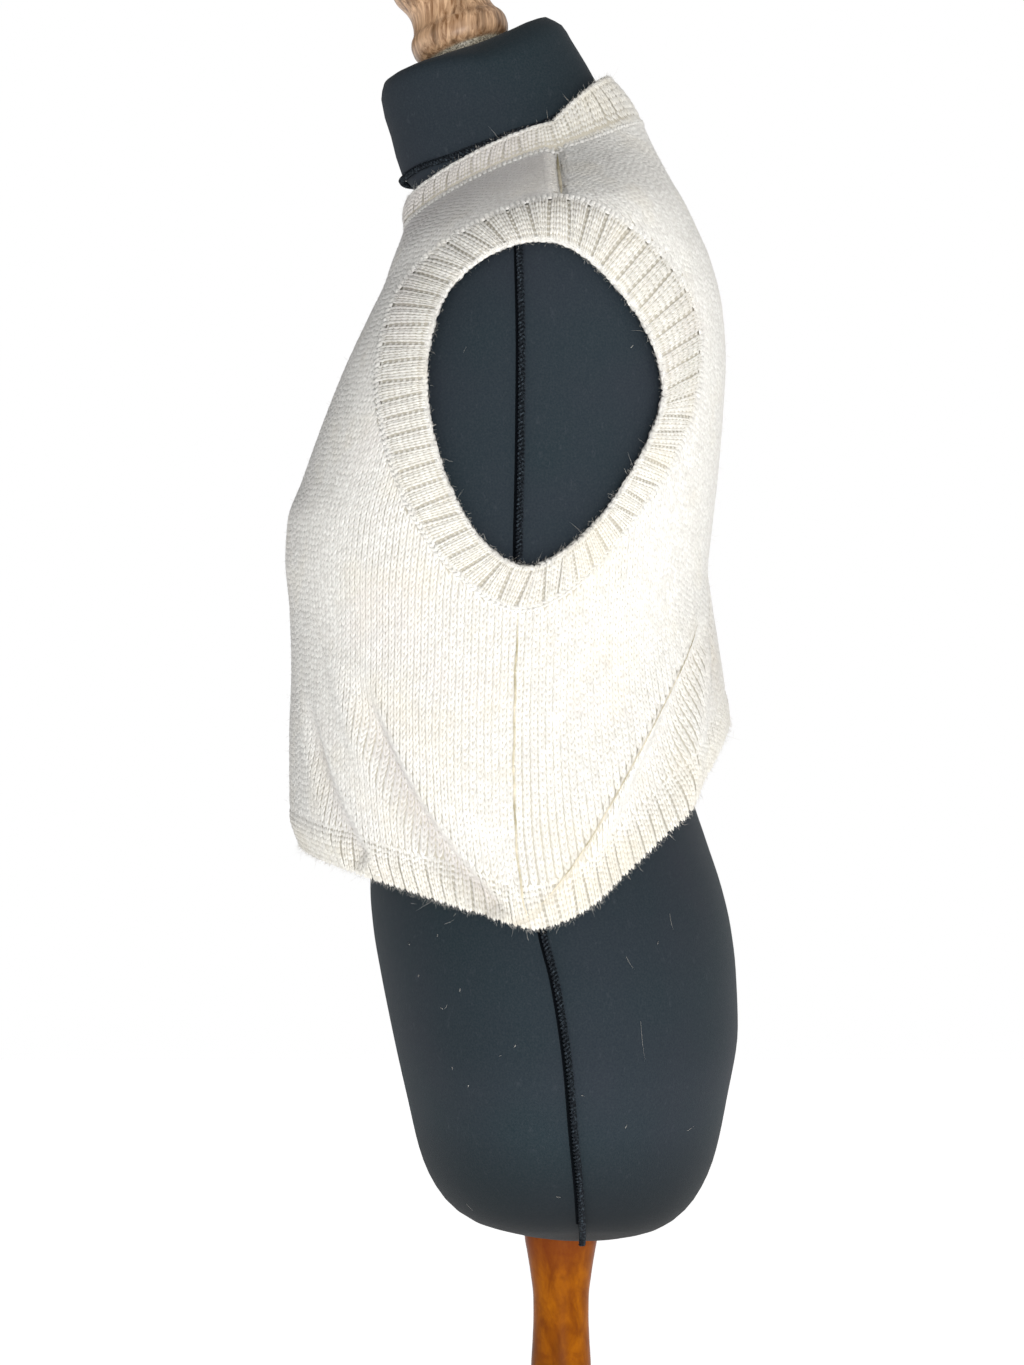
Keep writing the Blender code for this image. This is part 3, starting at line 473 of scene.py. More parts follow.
def placingTree():
    # puts one small form on every point: its z along "outward", its x along "across"
    tree, given, result = newTree("placedForms", [
        ("Form", "NodeSocketObject", None),
        ("Finish", "NodeSocketMaterial", None),
        ("Uneven", "NodeSocketFloat", 0.06),
        ("Lean", "NodeSocketFloat", 0.05),
        ("Spin", "NodeSocketFloat", 0.0),
        ("Seed", "NodeSocketInt", 1),
    ])

    def named(label):
        node = addNode(tree, "GeometryNodeInputNamedAttribute", {"Name": label}, data_type="FLOAT_VECTOR")
        return outOf(node, "Attribute")

    turn = addNode(tree, "FunctionNodeAxesToRotation",
                   {"Primary Axis": named("outward"), "Secondary Axis": named("across")},
                   primary_axis="Z", secondary_axis="X")
    least = addNode(tree, "ShaderNodeCombineXYZ")
    most = addNode(tree, "ShaderNodeCombineXYZ")
    for node, sign in ((least, -1), (most, 1)):
        for axis, label in (("X", "Lean"), ("Y", "Lean"), ("Z", "Spin")):
            tree.links.new(calculate(tree, "MULTIPLY", outOf(given, label), sign), node.inputs[axis])
    sway = addNode(tree, "FunctionNodeRandomValue",
                   {"Min": outOf(least), "Max": outOf(most), "Seed": outOf(given, "Seed")},
                   data_type="FLOAT_VECTOR")
    swayed = addNode(tree, "FunctionNodeEulerToRotation", {"Euler": outOf(sway)})
    turned = addNode(tree, "FunctionNodeRotateRotation",
                     {"Rotation": outOf(turn), "Rotate By": outOf(swayed)}, rotation_space="LOCAL")
    seedTwo = calculate(tree, "ADD", outOf(given, "Seed"), 7)
    wobble = addNode(tree, "FunctionNodeRandomValue",
                     {"Min": (-1, -1, -1), "Max": (1, 1, 1), "Seed": seedTwo},
                     data_type="FLOAT_VECTOR")
    amount = addNode(tree, "ShaderNodeVectorMath", operation="SCALE")
    tree.links.new(outOf(wobble), amount.inputs[0])
    tree.links.new(outOf(given, "Uneven"), amount.inputs["Scale"])
    factor = calculate(tree, "ADD", outOf(amount), (1, 1, 1), "ShaderNodeVectorMath")
    size = calculate(tree, "MULTIPLY", named("size"), factor, "ShaderNodeVectorMath")
    form = addNode(tree, "GeometryNodeObjectInfo", {"Object": outOf(given, "Form")})
    placed = addNode(tree, "GeometryNodeInstanceOnPoints", {
        "Points": outOf(given, "Geometry"), "Instance": outOf(form, "Geometry"),
        "Rotation": outOf(turned), "Scale": size})
    tone = addNode(tree, "FunctionNodeRandomValue", {"Seed": outOf(given, "Seed")}, data_type="FLOAT")
    toned = addNode(tree, "GeometryNodeStoreNamedAttribute",
                    {"Geometry": outOf(placed), "Name": "tone", "Value": outOf(tone)},
                    data_type="FLOAT", domain="INSTANCE")
    real = addNode(tree, "GeometryNodeRealizeInstances", {"Geometry": outOf(toned)})
    smooth = addNode(tree, "GeometryNodeSetShadeSmooth", {"Geometry": outOf(real), "Shade Smooth": True})
    finished = addNode(tree, "GeometryNodeSetMaterial",
                       {"Geometry": outOf(smooth), "Material": outOf(given, "Finish")})
    tree.links.new(outOf(finished), result.inputs["Geometry"])
    return tree


def cordTree():
    # two strands twisted round each other along a line of points
    tree, given, result = newTree("twistedCord", [
        ("Strand Radius", "NodeSocketFloat", 0.0008),
        ("Strand Offset", "NodeSocketFloat", 0.0007),
        ("Turns Per Metre", "NodeSocketFloat", 200.0),
        ("Step", "NodeSocketFloat", 0.0008),
        ("Finish", "NodeSocketMaterial", None),
    ])
    line = addNode(tree, "GeometryNodeMeshToCurve", {"Mesh": outOf(given, "Geometry")})
    fine = addNode(tree, "GeometryNodeResampleCurve",
                   {"Curve": outOf(line), "Length": outOf(given, "Step")}, mode="LENGTH")
    place = addNode(tree, "GeometryNodeSplineParameter")
    rate = calculate(tree, "MULTIPLY", outOf(given, "Turns Per Metre"), wholeTurn)
    tilt = calculate(tree, "MULTIPLY", outOf(place, "Length"), rate)
    tilted = addNode(tree, "GeometryNodeSetCurveTilt", {"Curve": outOf(fine), "Tilt": tilt})
    ring = addNode(tree, "GeometryNodeCurvePrimitiveCircle",
                   {"Resolution": 6, "Radius": outOf(given, "Strand Radius")})
    strands = addNode(tree, "GeometryNodeJoinGeometry")
    for sign in (-1, 1):
        offset = calculate(tree, "MULTIPLY", outOf(given, "Strand Offset"), sign)
        aside = addNode(tree, "ShaderNodeCombineXYZ", {"X": offset})
        moved = addNode(tree, "GeometryNodeTransform",
                        {"Geometry": outOf(ring), "Translation": outOf(aside)})
        tree.links.new(outOf(moved), strands.inputs["Geometry"])
    swept = addNode(tree, "GeometryNodeCurveToMesh",
                    {"Curve": outOf(tilted), "Profile Curve": outOf(strands), "Fill Caps": True})
    smooth = addNode(tree, "GeometryNodeSetShadeSmooth", {"Geometry": outOf(swept), "Shade Smooth": True})
    real = addNode(tree, "GeometryNodeRealizeInstances", {"Geometry": outOf(smooth)})
    finished = addNode(tree, "GeometryNodeSetMaterial",
                       {"Geometry": outOf(real), "Material": outOf(given, "Finish")})
    tree.links.new(outOf(finished), result.inputs["Geometry"])
    return tree


def placesObject(centre, across, outward, size, tones):
    mesh = bpy.data.meshes.new("places")
    mesh.vertices.add(len(centre))
    mesh.vertices.foreach_set("co", np.asarray(centre, np.float32).ravel())
    for label, values in (("across", across), ("outward", outward), ("size", size), ("shade", tones)):
        layer = mesh.attributes.new(label, "FLOAT_VECTOR", "POINT")
        layer.data.foreach_set("vector", np.asarray(values, np.float32).ravel())
    made = bpy.data.objects.new("places", mesh)
    scene.collection.objects.link(made)
    return made


placedForms = placingTree()
twistedCord = cordTree()


# finishes

def newFinish(name, roughness, **sockets):
    material = bpy.data.materials.new(name)
    material.use_nodes = True
    tree = material.node_tree
    shader = tree.nodes["Principled BSDF"]
    shader.inputs["Roughness"].default_value = roughness
    for key, value in sockets.items():
        shader.inputs[key].default_value = value
    return material, tree, shader


def mixed(tree, amount, first, second):
    node = addNode(tree, "ShaderNodeMix", data_type="RGBA")
    for key, value in zip(("Factor", "A", "B"), (amount, first, second)):
        socket = next(s for s in node.inputs if s.name == key and s.enabled)
        if isinstance(value, bpy.types.NodeSocket):
            tree.links.new(value, socket)
        else:
            socket.default_value = value if key == "Factor" else (*value, 1)
    return outOf(node, "Result")


def noise(tree, vector, scale, detail=2.0, roughness=0.5, distortion=0.0):
    node = addNode(tree, "ShaderNodeTexNoise", {
        "Vector": vector, "Scale": scale, "Detail": detail, "Roughness": roughness, "Distortion": distortion})
    return node.outputs["Fac"]


def ramp(tree, value, low, high):
    node = addNode(tree, "ShaderNodeMapRange", {"Value": value, "From Min": low, "From Max": high})
    return outOf(node, "Result")


def objectPlace(tree, scale=(1, 1, 1), rotation=(0, 0, 0)):
    where = addNode(tree, "ShaderNodeTexCoord")
    return outOf(addNode(tree, "ShaderNodeMapping", {
        "Vector": where.outputs["Object"], "Scale": scale, "Rotation": rotation}))


def bump(tree, shader, height, strength, distance):
    node = addNode(tree, "ShaderNodeBump", {"Height": height, "Strength": strength, "Distance": distance})
    tree.links.new(outOf(node), shader.inputs["Normal"])


yarn = {
    # ground, trough, line and seam are colours of painted shade: between the stitches, in troughs and on
    # shaded fronts, along crisp folds and rib grooves, and along seams and laps; the rest are the wool's own
    # colours
    "pale": (0.87, 0.86, 0.82), "grey": (0.70, 0.68, 0.64), "warm": (0.80, 0.73, 0.58),
    "pink": (0.78, 0.72, 0.69), "ground": (0.52, 0.485, 0.41), "ribPale": (0.85, 0.83, 0.77),
    "ribGrey": (0.66, 0.63, 0.56), "trough": (0.60, 0.555, 0.545), "line": (0.46, 0.40, 0.29),
    "seam": (0.33, 0.29, 0.17),
}


def partOf(tree, value, factor):
    return calculate(tree, "MULTIPLY", value, factor)


def yarnColour(tree, pale, grey, ribPale, ribGrey):
    # heathered wool: large warm and pinkish clouds, small flecks and a tone for each stitch; then the rib
    # tint, and painted shade read from the shade attribute
    place = objectPlace(tree)
    clouds = ramp(tree, noise(tree, place, 26, 3, 0.6), 0.50, 0.72)
    blush = ramp(tree, noise(tree, place, 17, 2, 0.5, 0.4), 0.58, 0.80)
    flecks = ramp(tree, noise(tree, place, 420, 2, 0.6), 0.40, 0.70)
    tone = addNode(tree, "ShaderNodeAttribute", attribute_name="tone").outputs["Fac"]
    heather = ramp(tree, noise(tree, place, 170, 4, 0.75, 0.8), 0.47, 0.70)
    shade = addNode(tree, "ShaderNodeAttribute", attribute_name="shade").outputs["Vector"]
    parts = addNode(tree, "ShaderNodeSeparateXYZ", {"Vector": shade})
    pale = mixed(tree, parts.outputs["Z"], pale, ribPale)
    grey = mixed(tree, parts.outputs["Z"], grey, ribGrey)
    colour = mixed(tree, heather, mixed(tree, flecks, pale, grey), grey)
    colour = mixed(tree, ramp(tree, tone, 0.55, 1.6), colour, yarn["grey"])
    colour = mixed(tree, partOf(tree, clouds, 0.26), colour, yarn["warm"])
    colour = mixed(tree, partOf(tree, blush, 0.30), colour, yarn["pink"])
    # painted shade: lilac-grey in troughs and on shaded fronts, and tan-brown along crisp folds, laps and rib
    # grooves
    colour = mixed(tree, partOf(tree, parts.outputs["X"], 0.50), colour, yarn["trough"])
    return mixed(tree, partOf(tree, parts.outputs["Y"], 0.42), colour, yarn["line"])


def creamYarn():
    material, tree, shader = newFinish("creamYarn", 0.95, **{
        "Sheen Weight": 0.25, "Sheen Roughness": 0.5, "Specular IOR Level": 0.15})
    colour = yarnColour(tree, yarn["pale"], yarn["grey"], yarn["ribPale"], yarn["ribGrey"])
    tree.links.new(colour, shader.inputs["Base Color"])
    strands = noise(tree, objectPlace(tree, (1, 1, 0.35)), 2600, 2, 0.6)
    bump(tree, shader, strands, 0.5, 0.0003)
    return material


def shadedGround():
    # the cloth between the stitches, darkened as painted shade
    material, tree, shader = newFinish("shadedGround", 1.0, **{"Specular IOR Level": 0.05})
    tree.links.new(yarnColour(tree, *[yarn["ground"]] * 4), shader.inputs["Base Color"])
    return material


def seamShade():
    # painted shade: the thin dark line where a seam or a fold's lap throws its shadow; it comes and goes
    # along its length
    material, tree, shader = newFinish("seamShade", 1.0, **{"Specular IOR Level": 0.05})
    runs = ramp(tree, noise(tree, objectPlace(tree), 34, 3, 0.7), 0.36, 0.62)
    tree.links.new(mixed(tree, runs, yarn["seam"], yarn["warm"]), shader.inputs["Base Color"])
    return material


def creamInside():
    # the purl side: short level bumps
    material, tree, shader = newFinish("creamInside", 0.95, **{
        "Sheen Weight": 0.2, "Sheen Roughness": 0.5, "Specular IOR Level": 0.15})
    colour = yarnColour(tree, yarn["pale"], yarn["grey"], yarn["pale"], yarn["grey"])
    tree.links.new(colour, shader.inputs["Base Color"])
    rows = addNode(tree, "ShaderNodeTexWave", {
        "Vector": objectPlace(tree), "Scale": 90.0, "Distortion": 2.2, "Detail": 2.0, "Detail Scale": 6.0},
        wave_type="BANDS", bands_direction="Z")
    bump(tree, shader, rows.outputs["Fac"], 0.6, 0.0008)
    return material


def fuzzFibre():
    material, tree, shader = newFinish("fuzzFibre", 0.9, **{
        "Base Color": (0.78, 0.74, 0.67, 1), "Sheen Weight": 0.3, "Specular IOR Level": 0.1})
    tone = addNode(tree, "ShaderNodeAttribute", attribute_name="tone").outputs["Fac"]
    tree.links.new(mixed(tree, tone, (0.70, 0.66, 0.58), (0.84, 0.81, 0.75)), shader.inputs["Base Color"])
    return material


def darkJersey():
    material, tree, shader = newFinish("darkJersey", 0.9, **{
        "Sheen Weight": 0.04, "Sheen Roughness": 0.4, "Specular IOR Level": 0.10})
    place = objectPlace(tree)
    blotches = noise(tree, place, 9, 3, 0.5)
    colour = mixed(tree, ramp(tree, blotches, 0.35, 0.7), (0.0155, 0.0265, 0.0330), (0.0235, 0.0275, 0.0375))
    grain = ramp(tree, noise(tree, place, 900, 2, 0.7), 0.35, 0.85)
    colour = mixed(tree, grain, colour, (0.030, 0.039, 0.046))
    worn = ramp(tree, noise(tree, objectPlace(tree, (1, 1, 0.5)), 240, 3, 0.8), 0.60, 0.80)
    colour = mixed(tree, partOf(tree, worn, 0.50), colour, (0.052, 0.059, 0.070))
    parts = addNode(tree, "ShaderNodeSeparateXYZ", {"Vector": place})
    # painted shade: darker towards the bottom, against the light the glowing floor throws up onto it
    colour = mixed(tree, ramp(tree, parts.outputs["Z"], 0.830, 0.757), colour, (0.0085, 0.0100, 0.0110))
    tree.links.new(colour, shader.inputs["Base Color"])
    weave = noise(tree, objectPlace(tree, (1.6, 1.6, 0.7)), 1300, 2, 0.6)
    bump(tree, shader, weave, 0.5, 0.0003)
    return material


def blackCord():
    material, tree, shader = newFinish("blackCord", 0.7, **{"Specular IOR Level": 0.12})
    # the light flecks are painted highlights of the cord's fibres; the same noise bumps the surface
    grain = noise(tree, objectPlace(tree), 820, 2, 0.6)
    tree.links.new(mixed(tree, ramp(tree, grain, 0.50, 0.70), (0.006, 0.008, 0.011), (0.045, 0.060, 0.074)),
                   shader.inputs["Base Color"])
    bump(tree, shader, grain, 0.6, 0.0003)
    return material


def woodGrain(tree, rotation, stretch, ringScale, dark, mid, light):
    # long grain lines along the turned axis, with wavering bands across them
    place = objectPlace(tree, (1, 1, stretch), rotation)
    lines = noise(tree, place, ringScale, 6, 0.62, 0.6)
    streaks = noise(tree, place, ringScale * 0.22, 3, 0.5, 1.2)
    colour = mixed(tree, ramp(tree, lines, 0.32, 0.68), mid, light)
    return mixed(tree, ramp(tree, streaks, 0.50, 0.78), colour, dark), lines


def capWood(tilt):
    material, tree, shader = newFinish("capWood", 0.38, **{"Specular IOR Level": 0.35})
    colour, lines = woodGrain(tree, (-tilt, 0, 0), 0.07, 420,
                              (0.060, 0.028, 0.012), (0.19, 0.090, 0.036), (0.66, 0.430, 0.260))
    # dust and wear where the cap stands on the cloth
    seat = Vector((0, neckSeat["y"], neckSeat["z"]))
    turned = Euler((-tilt, 0, 0)).to_matrix() @ seat
    parts = addNode(tree, "ShaderNodeSeparateXYZ", {"Vector": objectPlace(tree, (1, 1, 1), (-tilt, 0, 0))})
    foot = ramp(tree, parts.outputs["Z"], turned.z + 0.0056, turned.z + 0.0042)
    specks = ramp(tree, noise(tree, objectPlace(tree), 900, 3, 0.8), 0.42, 0.60)
    dusty = mixed(tree, specks, (0.075, 0.062, 0.040), (0.42, 0.38, 0.29))
    tree.links.new(mixed(tree, foot, colour, dusty), shader.inputs["Base Color"])
    bump(tree, shader, lines, 0.25, 0.0004)
    return material


def stainedWood():
    material, tree, shader = newFinish("stainedWood", 0.34, **{
        "Specular IOR Level": 0.04, "Coat Weight": 0.05, "Coat Roughness": 0.08})
    colour, lines = woodGrain(tree, (0, 0, 0), 0.42, 95,
                              (0.060, 0.012, 0.0008), (0.175, 0.040, 0.0003), (0.37, 0.110, 0.0010))
    parts = addNode(tree, "ShaderNodeSeparateXYZ", {"Vector": objectPlace(tree)})
    mottled = partOf(tree, ramp(tree, noise(tree, objectPlace(tree), 60, 3, 0.7, 1.5), 0.45, 0.70), 0.55)
    colour = mixed(tree, mottled, colour, (0.16, 0.032, 0.0015))
    collar = partOf(tree, ramp(tree, parts.outputs["Z"], 0.722, 0.744), 0.60)
    colour = mixed(tree, collar, colour, (0.13, 0.022, 0.0060))
    tree.links.new(colour, shader.inputs["Base Color"])
    bump(tree, shader, lines, 0.10, 0.0003)
    return material


creamYarnFinish = creamYarn()
seamShadeFinish = seamShade()
shadedGroundFinish = shadedGround()
creamInsideFinish = creamInside()
fuzzFinish = fuzzFibre()
jerseyFinish = darkJersey()
cordFinish = blackCord()
# the near-black strand beside each cord: its seam, and painted shadow along the cord
seamAndShadowFinish = newFinish("seamAndShadow", 1.0, **{
    "Base Color": (0.0035, 0.0045, 0.006, 1), "Specular IOR Level": 0.02})[0]
print("finishes made")


# small forms that are placed thousands of times

def twoLegs(name, right):
    return joinedLenses(name, [right, [(-x, y, half, height) for x, y, half, height in right]])


# x in stitch widths, y in stitch heights, then half width and height above the cloth
knitForm = twoLegs("knitForm", [
    (0.02, -0.85, 0, 0), (0.15, -0.38, 0.19, 1.0), (0.31, 0.38, 0.19, 0.92), (0.45, 0.85, 0, 0)])
ribForm = twoLegs("ribForm", [
    (0.16, -0.74, 0, 0), (0.21, -0.25, 0.22, 1.0), (0.26, 0.27, 0.22, 0.95), (0.31, 0.74, 0, 0)])
chainForm = twoLegs("chainForm", [
    (0.02, -0.72, 0, 0), (0.17, -0.25, 0.26, 1.0), (0.28, 0.27, 0.22, 0.92), (0.36, 0.68, 0, 0)])
purlForm = joinedLenses("purlForm", [
    [(-0.62, -0.16, 0, 0), (-0.26, 0.06, 0.27, 0.8), (0.26, 0.06, 0.27, 0.8), (0.62, -0.16, 0, 0)]])


def fibreForm():
    # a bent tapering hair, one unit long
    bends = [(0.0, 0.0, 0.0, 1.0), (0.19, 0.03, 0.5, 0.75), (0.06, -0.03, 1.0, 0.0)]
    points, faces = [], []
    for x, y, z, thick in bends[:2]:
        for k in range(3):
            turn = wholeTurn * k / 3
            reach = fibre["radius"] * thick
            points.append((x + reach * math.cos(turn), y + reach * math.sin(turn), z))
    points.append(bends[2][:3])
    faces.append([2, 1, 0])
    for k in range(3):
        n = (k + 1) % 3
        faces.append([k, n, 3 + n, 3 + k])
        faces.append([3 + k, 3 + n, 6])
    return meshObject("fibreForm", points, faces)


fibre = {
    "radius": 0.024, "thickest": 0.0026, "length": 0.0024, "shortLength": 0.00192, "longLength": 0.0075,
    "perPanel": 1400, "perHem": 2900, "perArmhole": 4300, "perBandFace": 900, "perNeck": 1500,
    "perNeckFace": 600, "longShare": 0.025,
}
hairForm = fibreForm()


def placeForms(name, form, spots, finish, uneven, lean, spin, seed):
    return grow(placesObject(*spots), placedForms, {
        "Form": form, "Finish": finish, "Uneven": uneven, "Lean": lean, "Spin": spin, "Seed": seed}, name)


def joinSpots(*groups):
    return [np.concatenate(parts) for parts in zip(*groups)]


# the armhole in the side view

armholeRows = [
    # seam y, seam z, edge y, edge z; from the underarm up the front, over and down the back
    (-0.0262, 1.1170, -0.0190, 1.1390),
    (-0.0600, 1.1375, -0.0425, 1.1495),
    (-0.0850, 1.1725, -0.0620, 1.1790),
    (-0.0995, 1.2130, -0.0742, 1.2170),
    (-0.1040, 1.2520, -0.0765, 1.2530),
    (-0.0920, 1.2990, -0.0660, 1.2900),
    (-0.0500, 1.3290, -0.0360, 1.3130),
    (-0.0033, 1.3425, -0.0040, 1.3155),
    (0.0415, 1.3220, 0.0232, 1.2965),
    (0.0715, 1.2895, 0.0462, 1.2670),
    (0.0765, 1.2535, 0.0545, 1.2390),
    (0.0650, 1.2110, 0.0475, 1.2120),
    (0.0400, 1.1700, 0.0270, 1.1765),
    (0.0060, 1.1310, 0.0040, 1.1515),
]
shoulderRow = 7


def armholeCurves():
    table = np.array(armholeRows[-3:] + armholeRows + armholeRows[:3], float)
    run = np.concatenate([[0], np.cumsum(np.sqrt(np.hypot(*np.diff(table[:, :2], axis=0).T)))])
    start, middle, end = run[3], run[3 + shoulderRow], run[3 + len(armholeRows)]
    share = np.interp(run, [start, middle, end], [0, 0.5, 1])
    share = np.where(run < start, (run - start) / (end - start), share)
    share = np.where(run > end, 1 + (run - end) / (end - start), share)
    return [roundedCurve(share, table[:, column]) for column in range(4)]


armhole = armholeCurves()


def locate(y, z):
    # angle and level of a side-view place on the wearer's left
    y, z = np.broadcast_arrays(np.asarray(y, float), z)
    angle = np.full(y.shape, quarterTurn)
    level = np.full(y.shape, (underarmLevel + tipLevel) / 2)
    small = 1e-5
    for _ in range(25):
        here = bodyPoint(angle, level)
        turned = (bodyPoint(angle + small, level) - here) / small
        raised = (bodyPoint(angle, level + small) - here) / small
        missY, missZ = y - here[..., 1], z - here[..., 2]
        scale = turned[..., 1] * raised[..., 2] - turned[..., 2] * raised[..., 1]
        turn = (missY * raised[..., 2] - missZ * raised[..., 1]) / scale
        rise = (turned[..., 1] * missZ - turned[..., 2] * missY) / scale
        angle = angle + np.clip(turn, -0.2, 0.2)
        level = level + np.clip(rise, -0.02, 0.02)
    return angle, level


def bandPlace(share, across):
    share, across = np.broadcast_arrays(np.asarray(share, float), across)
    y = armhole[0](share) * (1 - across) + armhole[2](share) * across
    z = armhole[1](share) * (1 - across) + armhole[3](share) * across
    return locate(y, z)


def bandPoint(share, across, out, side):
    angle, level = bandPlace(share, across)
    points = bodyPoint(angle, level) + bodyNormal(angle, level) * np.asarray(out)[..., None]
    return points * [side, 1, 1]


def evenShares(start, end, count, across=0.0):
    dense = np.linspace(start, end, 241)
    y = armhole[0](dense) * (1 - across) + armhole[2](dense) * across
    z = armhole[1](dense) * (1 - across) + armhole[3](dense) * across
    run = runAlong(np.stack([y, z], -1))
    return np.interp(np.linspace(0, run[-1], count + 1), run, dense)


# front and back panels

panels = {
    "wall": 0.0025, "ground": -0.0009, "columns": 232, "innerColumns": 58,
    "hemDepth": 0.0235, "hemRows": 9, "sideRows": 56, "armholeRows": 60, "shoulderRows": 12,
    "wale": 0.00415, "course": 0.0035, "plump": 0.00105, "slip": 0.60,
    "hemStitchArea": 0.0000135,
}
hemRib = {
    "count": {"front": 64, "back": 60}, "perRib": 3, "courses": 8, "pointsPerRib": 6, "end": 0.93,
    "base": -0.0015, "relief": 0.0020, "plump": 0.0010, "purlPlump": 0.0007, "flow": 0.55,
    "firstKnit": 0.285, "knitWidth": 0.46, "purlWidth": 0.22, "power": 0.75, "shallower": 0.0,
    "depths": (0.45, 1.0), "wander": 0.12, "slant": 0.16,
}


ribSteps = 8  # places measured out along each rib
overlap = 1.05  # how far a rib stitch reaches over the next


def ribRise(place, rib, across):
    # place counts ribs from groove to groove; no two grooves are equally deep
    count = len(rib["deep"])
    deep = rib["deep"][np.round(place).astype(int) % count] * (1 - rib["shallower"] * np.asarray(across))
    return rib["base"] + rib["relief"] * (1 - deep * (1 - np.abs(np.sin(math.pi * place)) ** rib["power"]))


def uneven(rib, count, seed, rounds=0.0):
    # each groove's own depth, sideways shift and lean; deeper at the ends of a tall ring
    own = np.random.default_rng(seed)
    tall = 1 + rounds * (np.cos(2 * wholeTurn * np.arange(count) / count) - 1)
    rib["deep"] = np.clip(own.uniform(*rib["depths"], count) * tall, 0.1, 1.0)
    rib["shift"] = own.uniform(-rib["wander"], rib["wander"], count)
    rib["lean"] = own.uniform(-rib["slant"], rib["slant"], count)


def wandered(place, rib, across):
    # a place on an uneven rib, as a place on even ones
    count = len(rib["shift"])
    shift = rib["shift"] + rib["lean"] * (np.mean(across) - 0.5)
    return place + np.interp(place, np.arange(count + 1), np.append(shift, shift[0]))


def flowing(rise, across, rib):
    # a rib grows out of the panel's own ground, and thins towards the free edge
    share = np.clip(across / rib["flow"], 0, 1)
    grown = panels["ground"] + (rise - panels["ground"]) * share * share * (3 - 2 * share)
    thin = np.clip((across - 0.92) / 0.08, 0, 1)
    return grown * (1 - 0.7 * thin) - 0.0004 * thin


def ribOut(place, rib, across):
    return flowing(ribRise(place, rib, across), across, rib)


def ribColumns(rib, count):
    # the purl column stands in the groove, narrower than the knit columns beside it
    share = np.concatenate([[0], np.linspace(rib["firstKnit"], 1 - rib["firstKnit"], rib["perRib"] - 1)])
    place = (np.arange(count)[:, None] + share).ravel()
    kind = np.tile(np.arange(rib["perRib"]), count)
    wide = np.where(kind > 0, rib["knitWidth"], rib["purlWidth"])
    return place, kind, wide


def hemPlaces(face, row, place, across):
    # angles and levels of places on the uneven hem ribs
    count = hemRib["count"][face]
    angle, level = rowPlaces(face, row, count * ribSteps)
    wanted = np.clip(wandered(place, hemRib, across), 0, count)
    wanted[0] = place[0]
    wanted[-1] = place[-1]
    # the angle jumps by a whole turn at the centre back, so it is made to run on there
    even = np.arange(count * ribSteps + 1)
    angle, level = [np.interp(wanted * ribSteps, even, values) for values in (np.unwrap(angle), level)]
    return (angle + math.pi) % wholeTurn - math.pi, level


def panelLevels():
    hemTop = hemLevel + panels["hemDepth"]
    hem = np.linspace(hemLevel + 0.0008, hemTop, panels["hemRows"] + 1)[:-1]
    return list(hem) + list(np.linspace(hemTop, underarmLevel, panels["sideRows"] + 1))


def panelRows(face):
    # each row: level at the centre, angle and level at the edge, and how it bends between them
    low = panelLevels()
    steps = panels["armholeRows"] + panels["shoulderRows"]
    centre = low + list(np.linspace(underarmLevel, neckLevel, steps + 1)[1:])
    places = [(quarterTurn, level) for level in low[:-1]]
    shares = evenShares(0, 0.5, panels["armholeRows"]) if face == "front" else \
        evenShares(0.5, 1, panels["armholeRows"])[::-1]
    angles, levels = bandPlace(shares, 0.0)
    if face == "back":
        angles = math.pi - angles
    angles[0] = angles[-1] = quarterTurn
    levels[0], levels[-1] = underarmLevel, tipLevel
    places += list(zip(angles, levels))
    shoulder = np.linspace(tipLevel, neckLevel, panels["shoulderRows"] + 1)[1:]
    places += [(quarterTurn, level) for level in shoulder]
    bends = np.clip(np.arange(1, panels["armholeRows"] + 1) / (panels["armholeRows"] / 3) - 1, -1, 1)
    bends = [-1] * len(low) + list(bends) + [1] * panels["shoulderRows"]
    return [(c, *place, bend) for c, place, bend in zip(centre, places, bends)]


def rowPlaces(face, row, count):
    centreLevel, edgeAngle, edgeLevel, bend = row
    share = np.linspace(0, 1, 121)
    angle = edgeAngle * share
    level = centreLevel + (edgeLevel - centreLevel) * share * (1 + bend * (1 - share))
    if face == "back":
        angle = math.pi - angle
    run = runAlong(bodyPoint(angle, level))
    wanted = np.linspace(0, run[-1], count // 2 + 1)
    angle, level = np.interp(wanted, run, angle), np.interp(wanted, run, level)
    if face == "front":
        return np.concatenate([-angle[:0:-1], angle]), np.concatenate([level[:0:-1], level])
    return np.concatenate([angle[::-1], -angle[1:]]), np.concatenate([level[::-1], level[1:]])


def panelWall(name, face):
    outer, inner = [], []
    rows = panelRows(face)
    uneven(hemRib, hemRib["count"][face], 41)
    hemTop = hemLevel + panels["hemDepth"] * hemRib["end"]
    fine = hemRib["count"][face] * hemRib["pointsPerRib"]
    for number, row in enumerate(rows):
        hem = row[0] < hemTop
        angle, level = rowPlaces(face, row, panels["columns"])
        out = panels["ground"]
        if hem:
            across = 1 - (row[0] - hemLevel) / panels["hemDepth"]
            place = np.arange(fine + 1) / hemRib["pointsPerRib"]
            angle, level = hemPlaces(face, row, place, across)
            out = ribOut(place, hemRib, across)
        outer.append(clothPoint(angle, level, out))
        if number % 2 == 0 or number == len(rows) - 1:
            angle, level = rowPlaces(face, row, panels["innerColumns"])
            inner.append(clothPoint(angle, level, -panels["wall"]))
    angle, level = rowPlaces(face, (hemLevel, quarterTurn, hemLevel, -1), fine)
    edge = clothPoint(angle, level, -panels["wall"] / 2)
    return clothWall(name, outer, edge, inner, [shadedGroundFinish, creamInsideFinish], False)


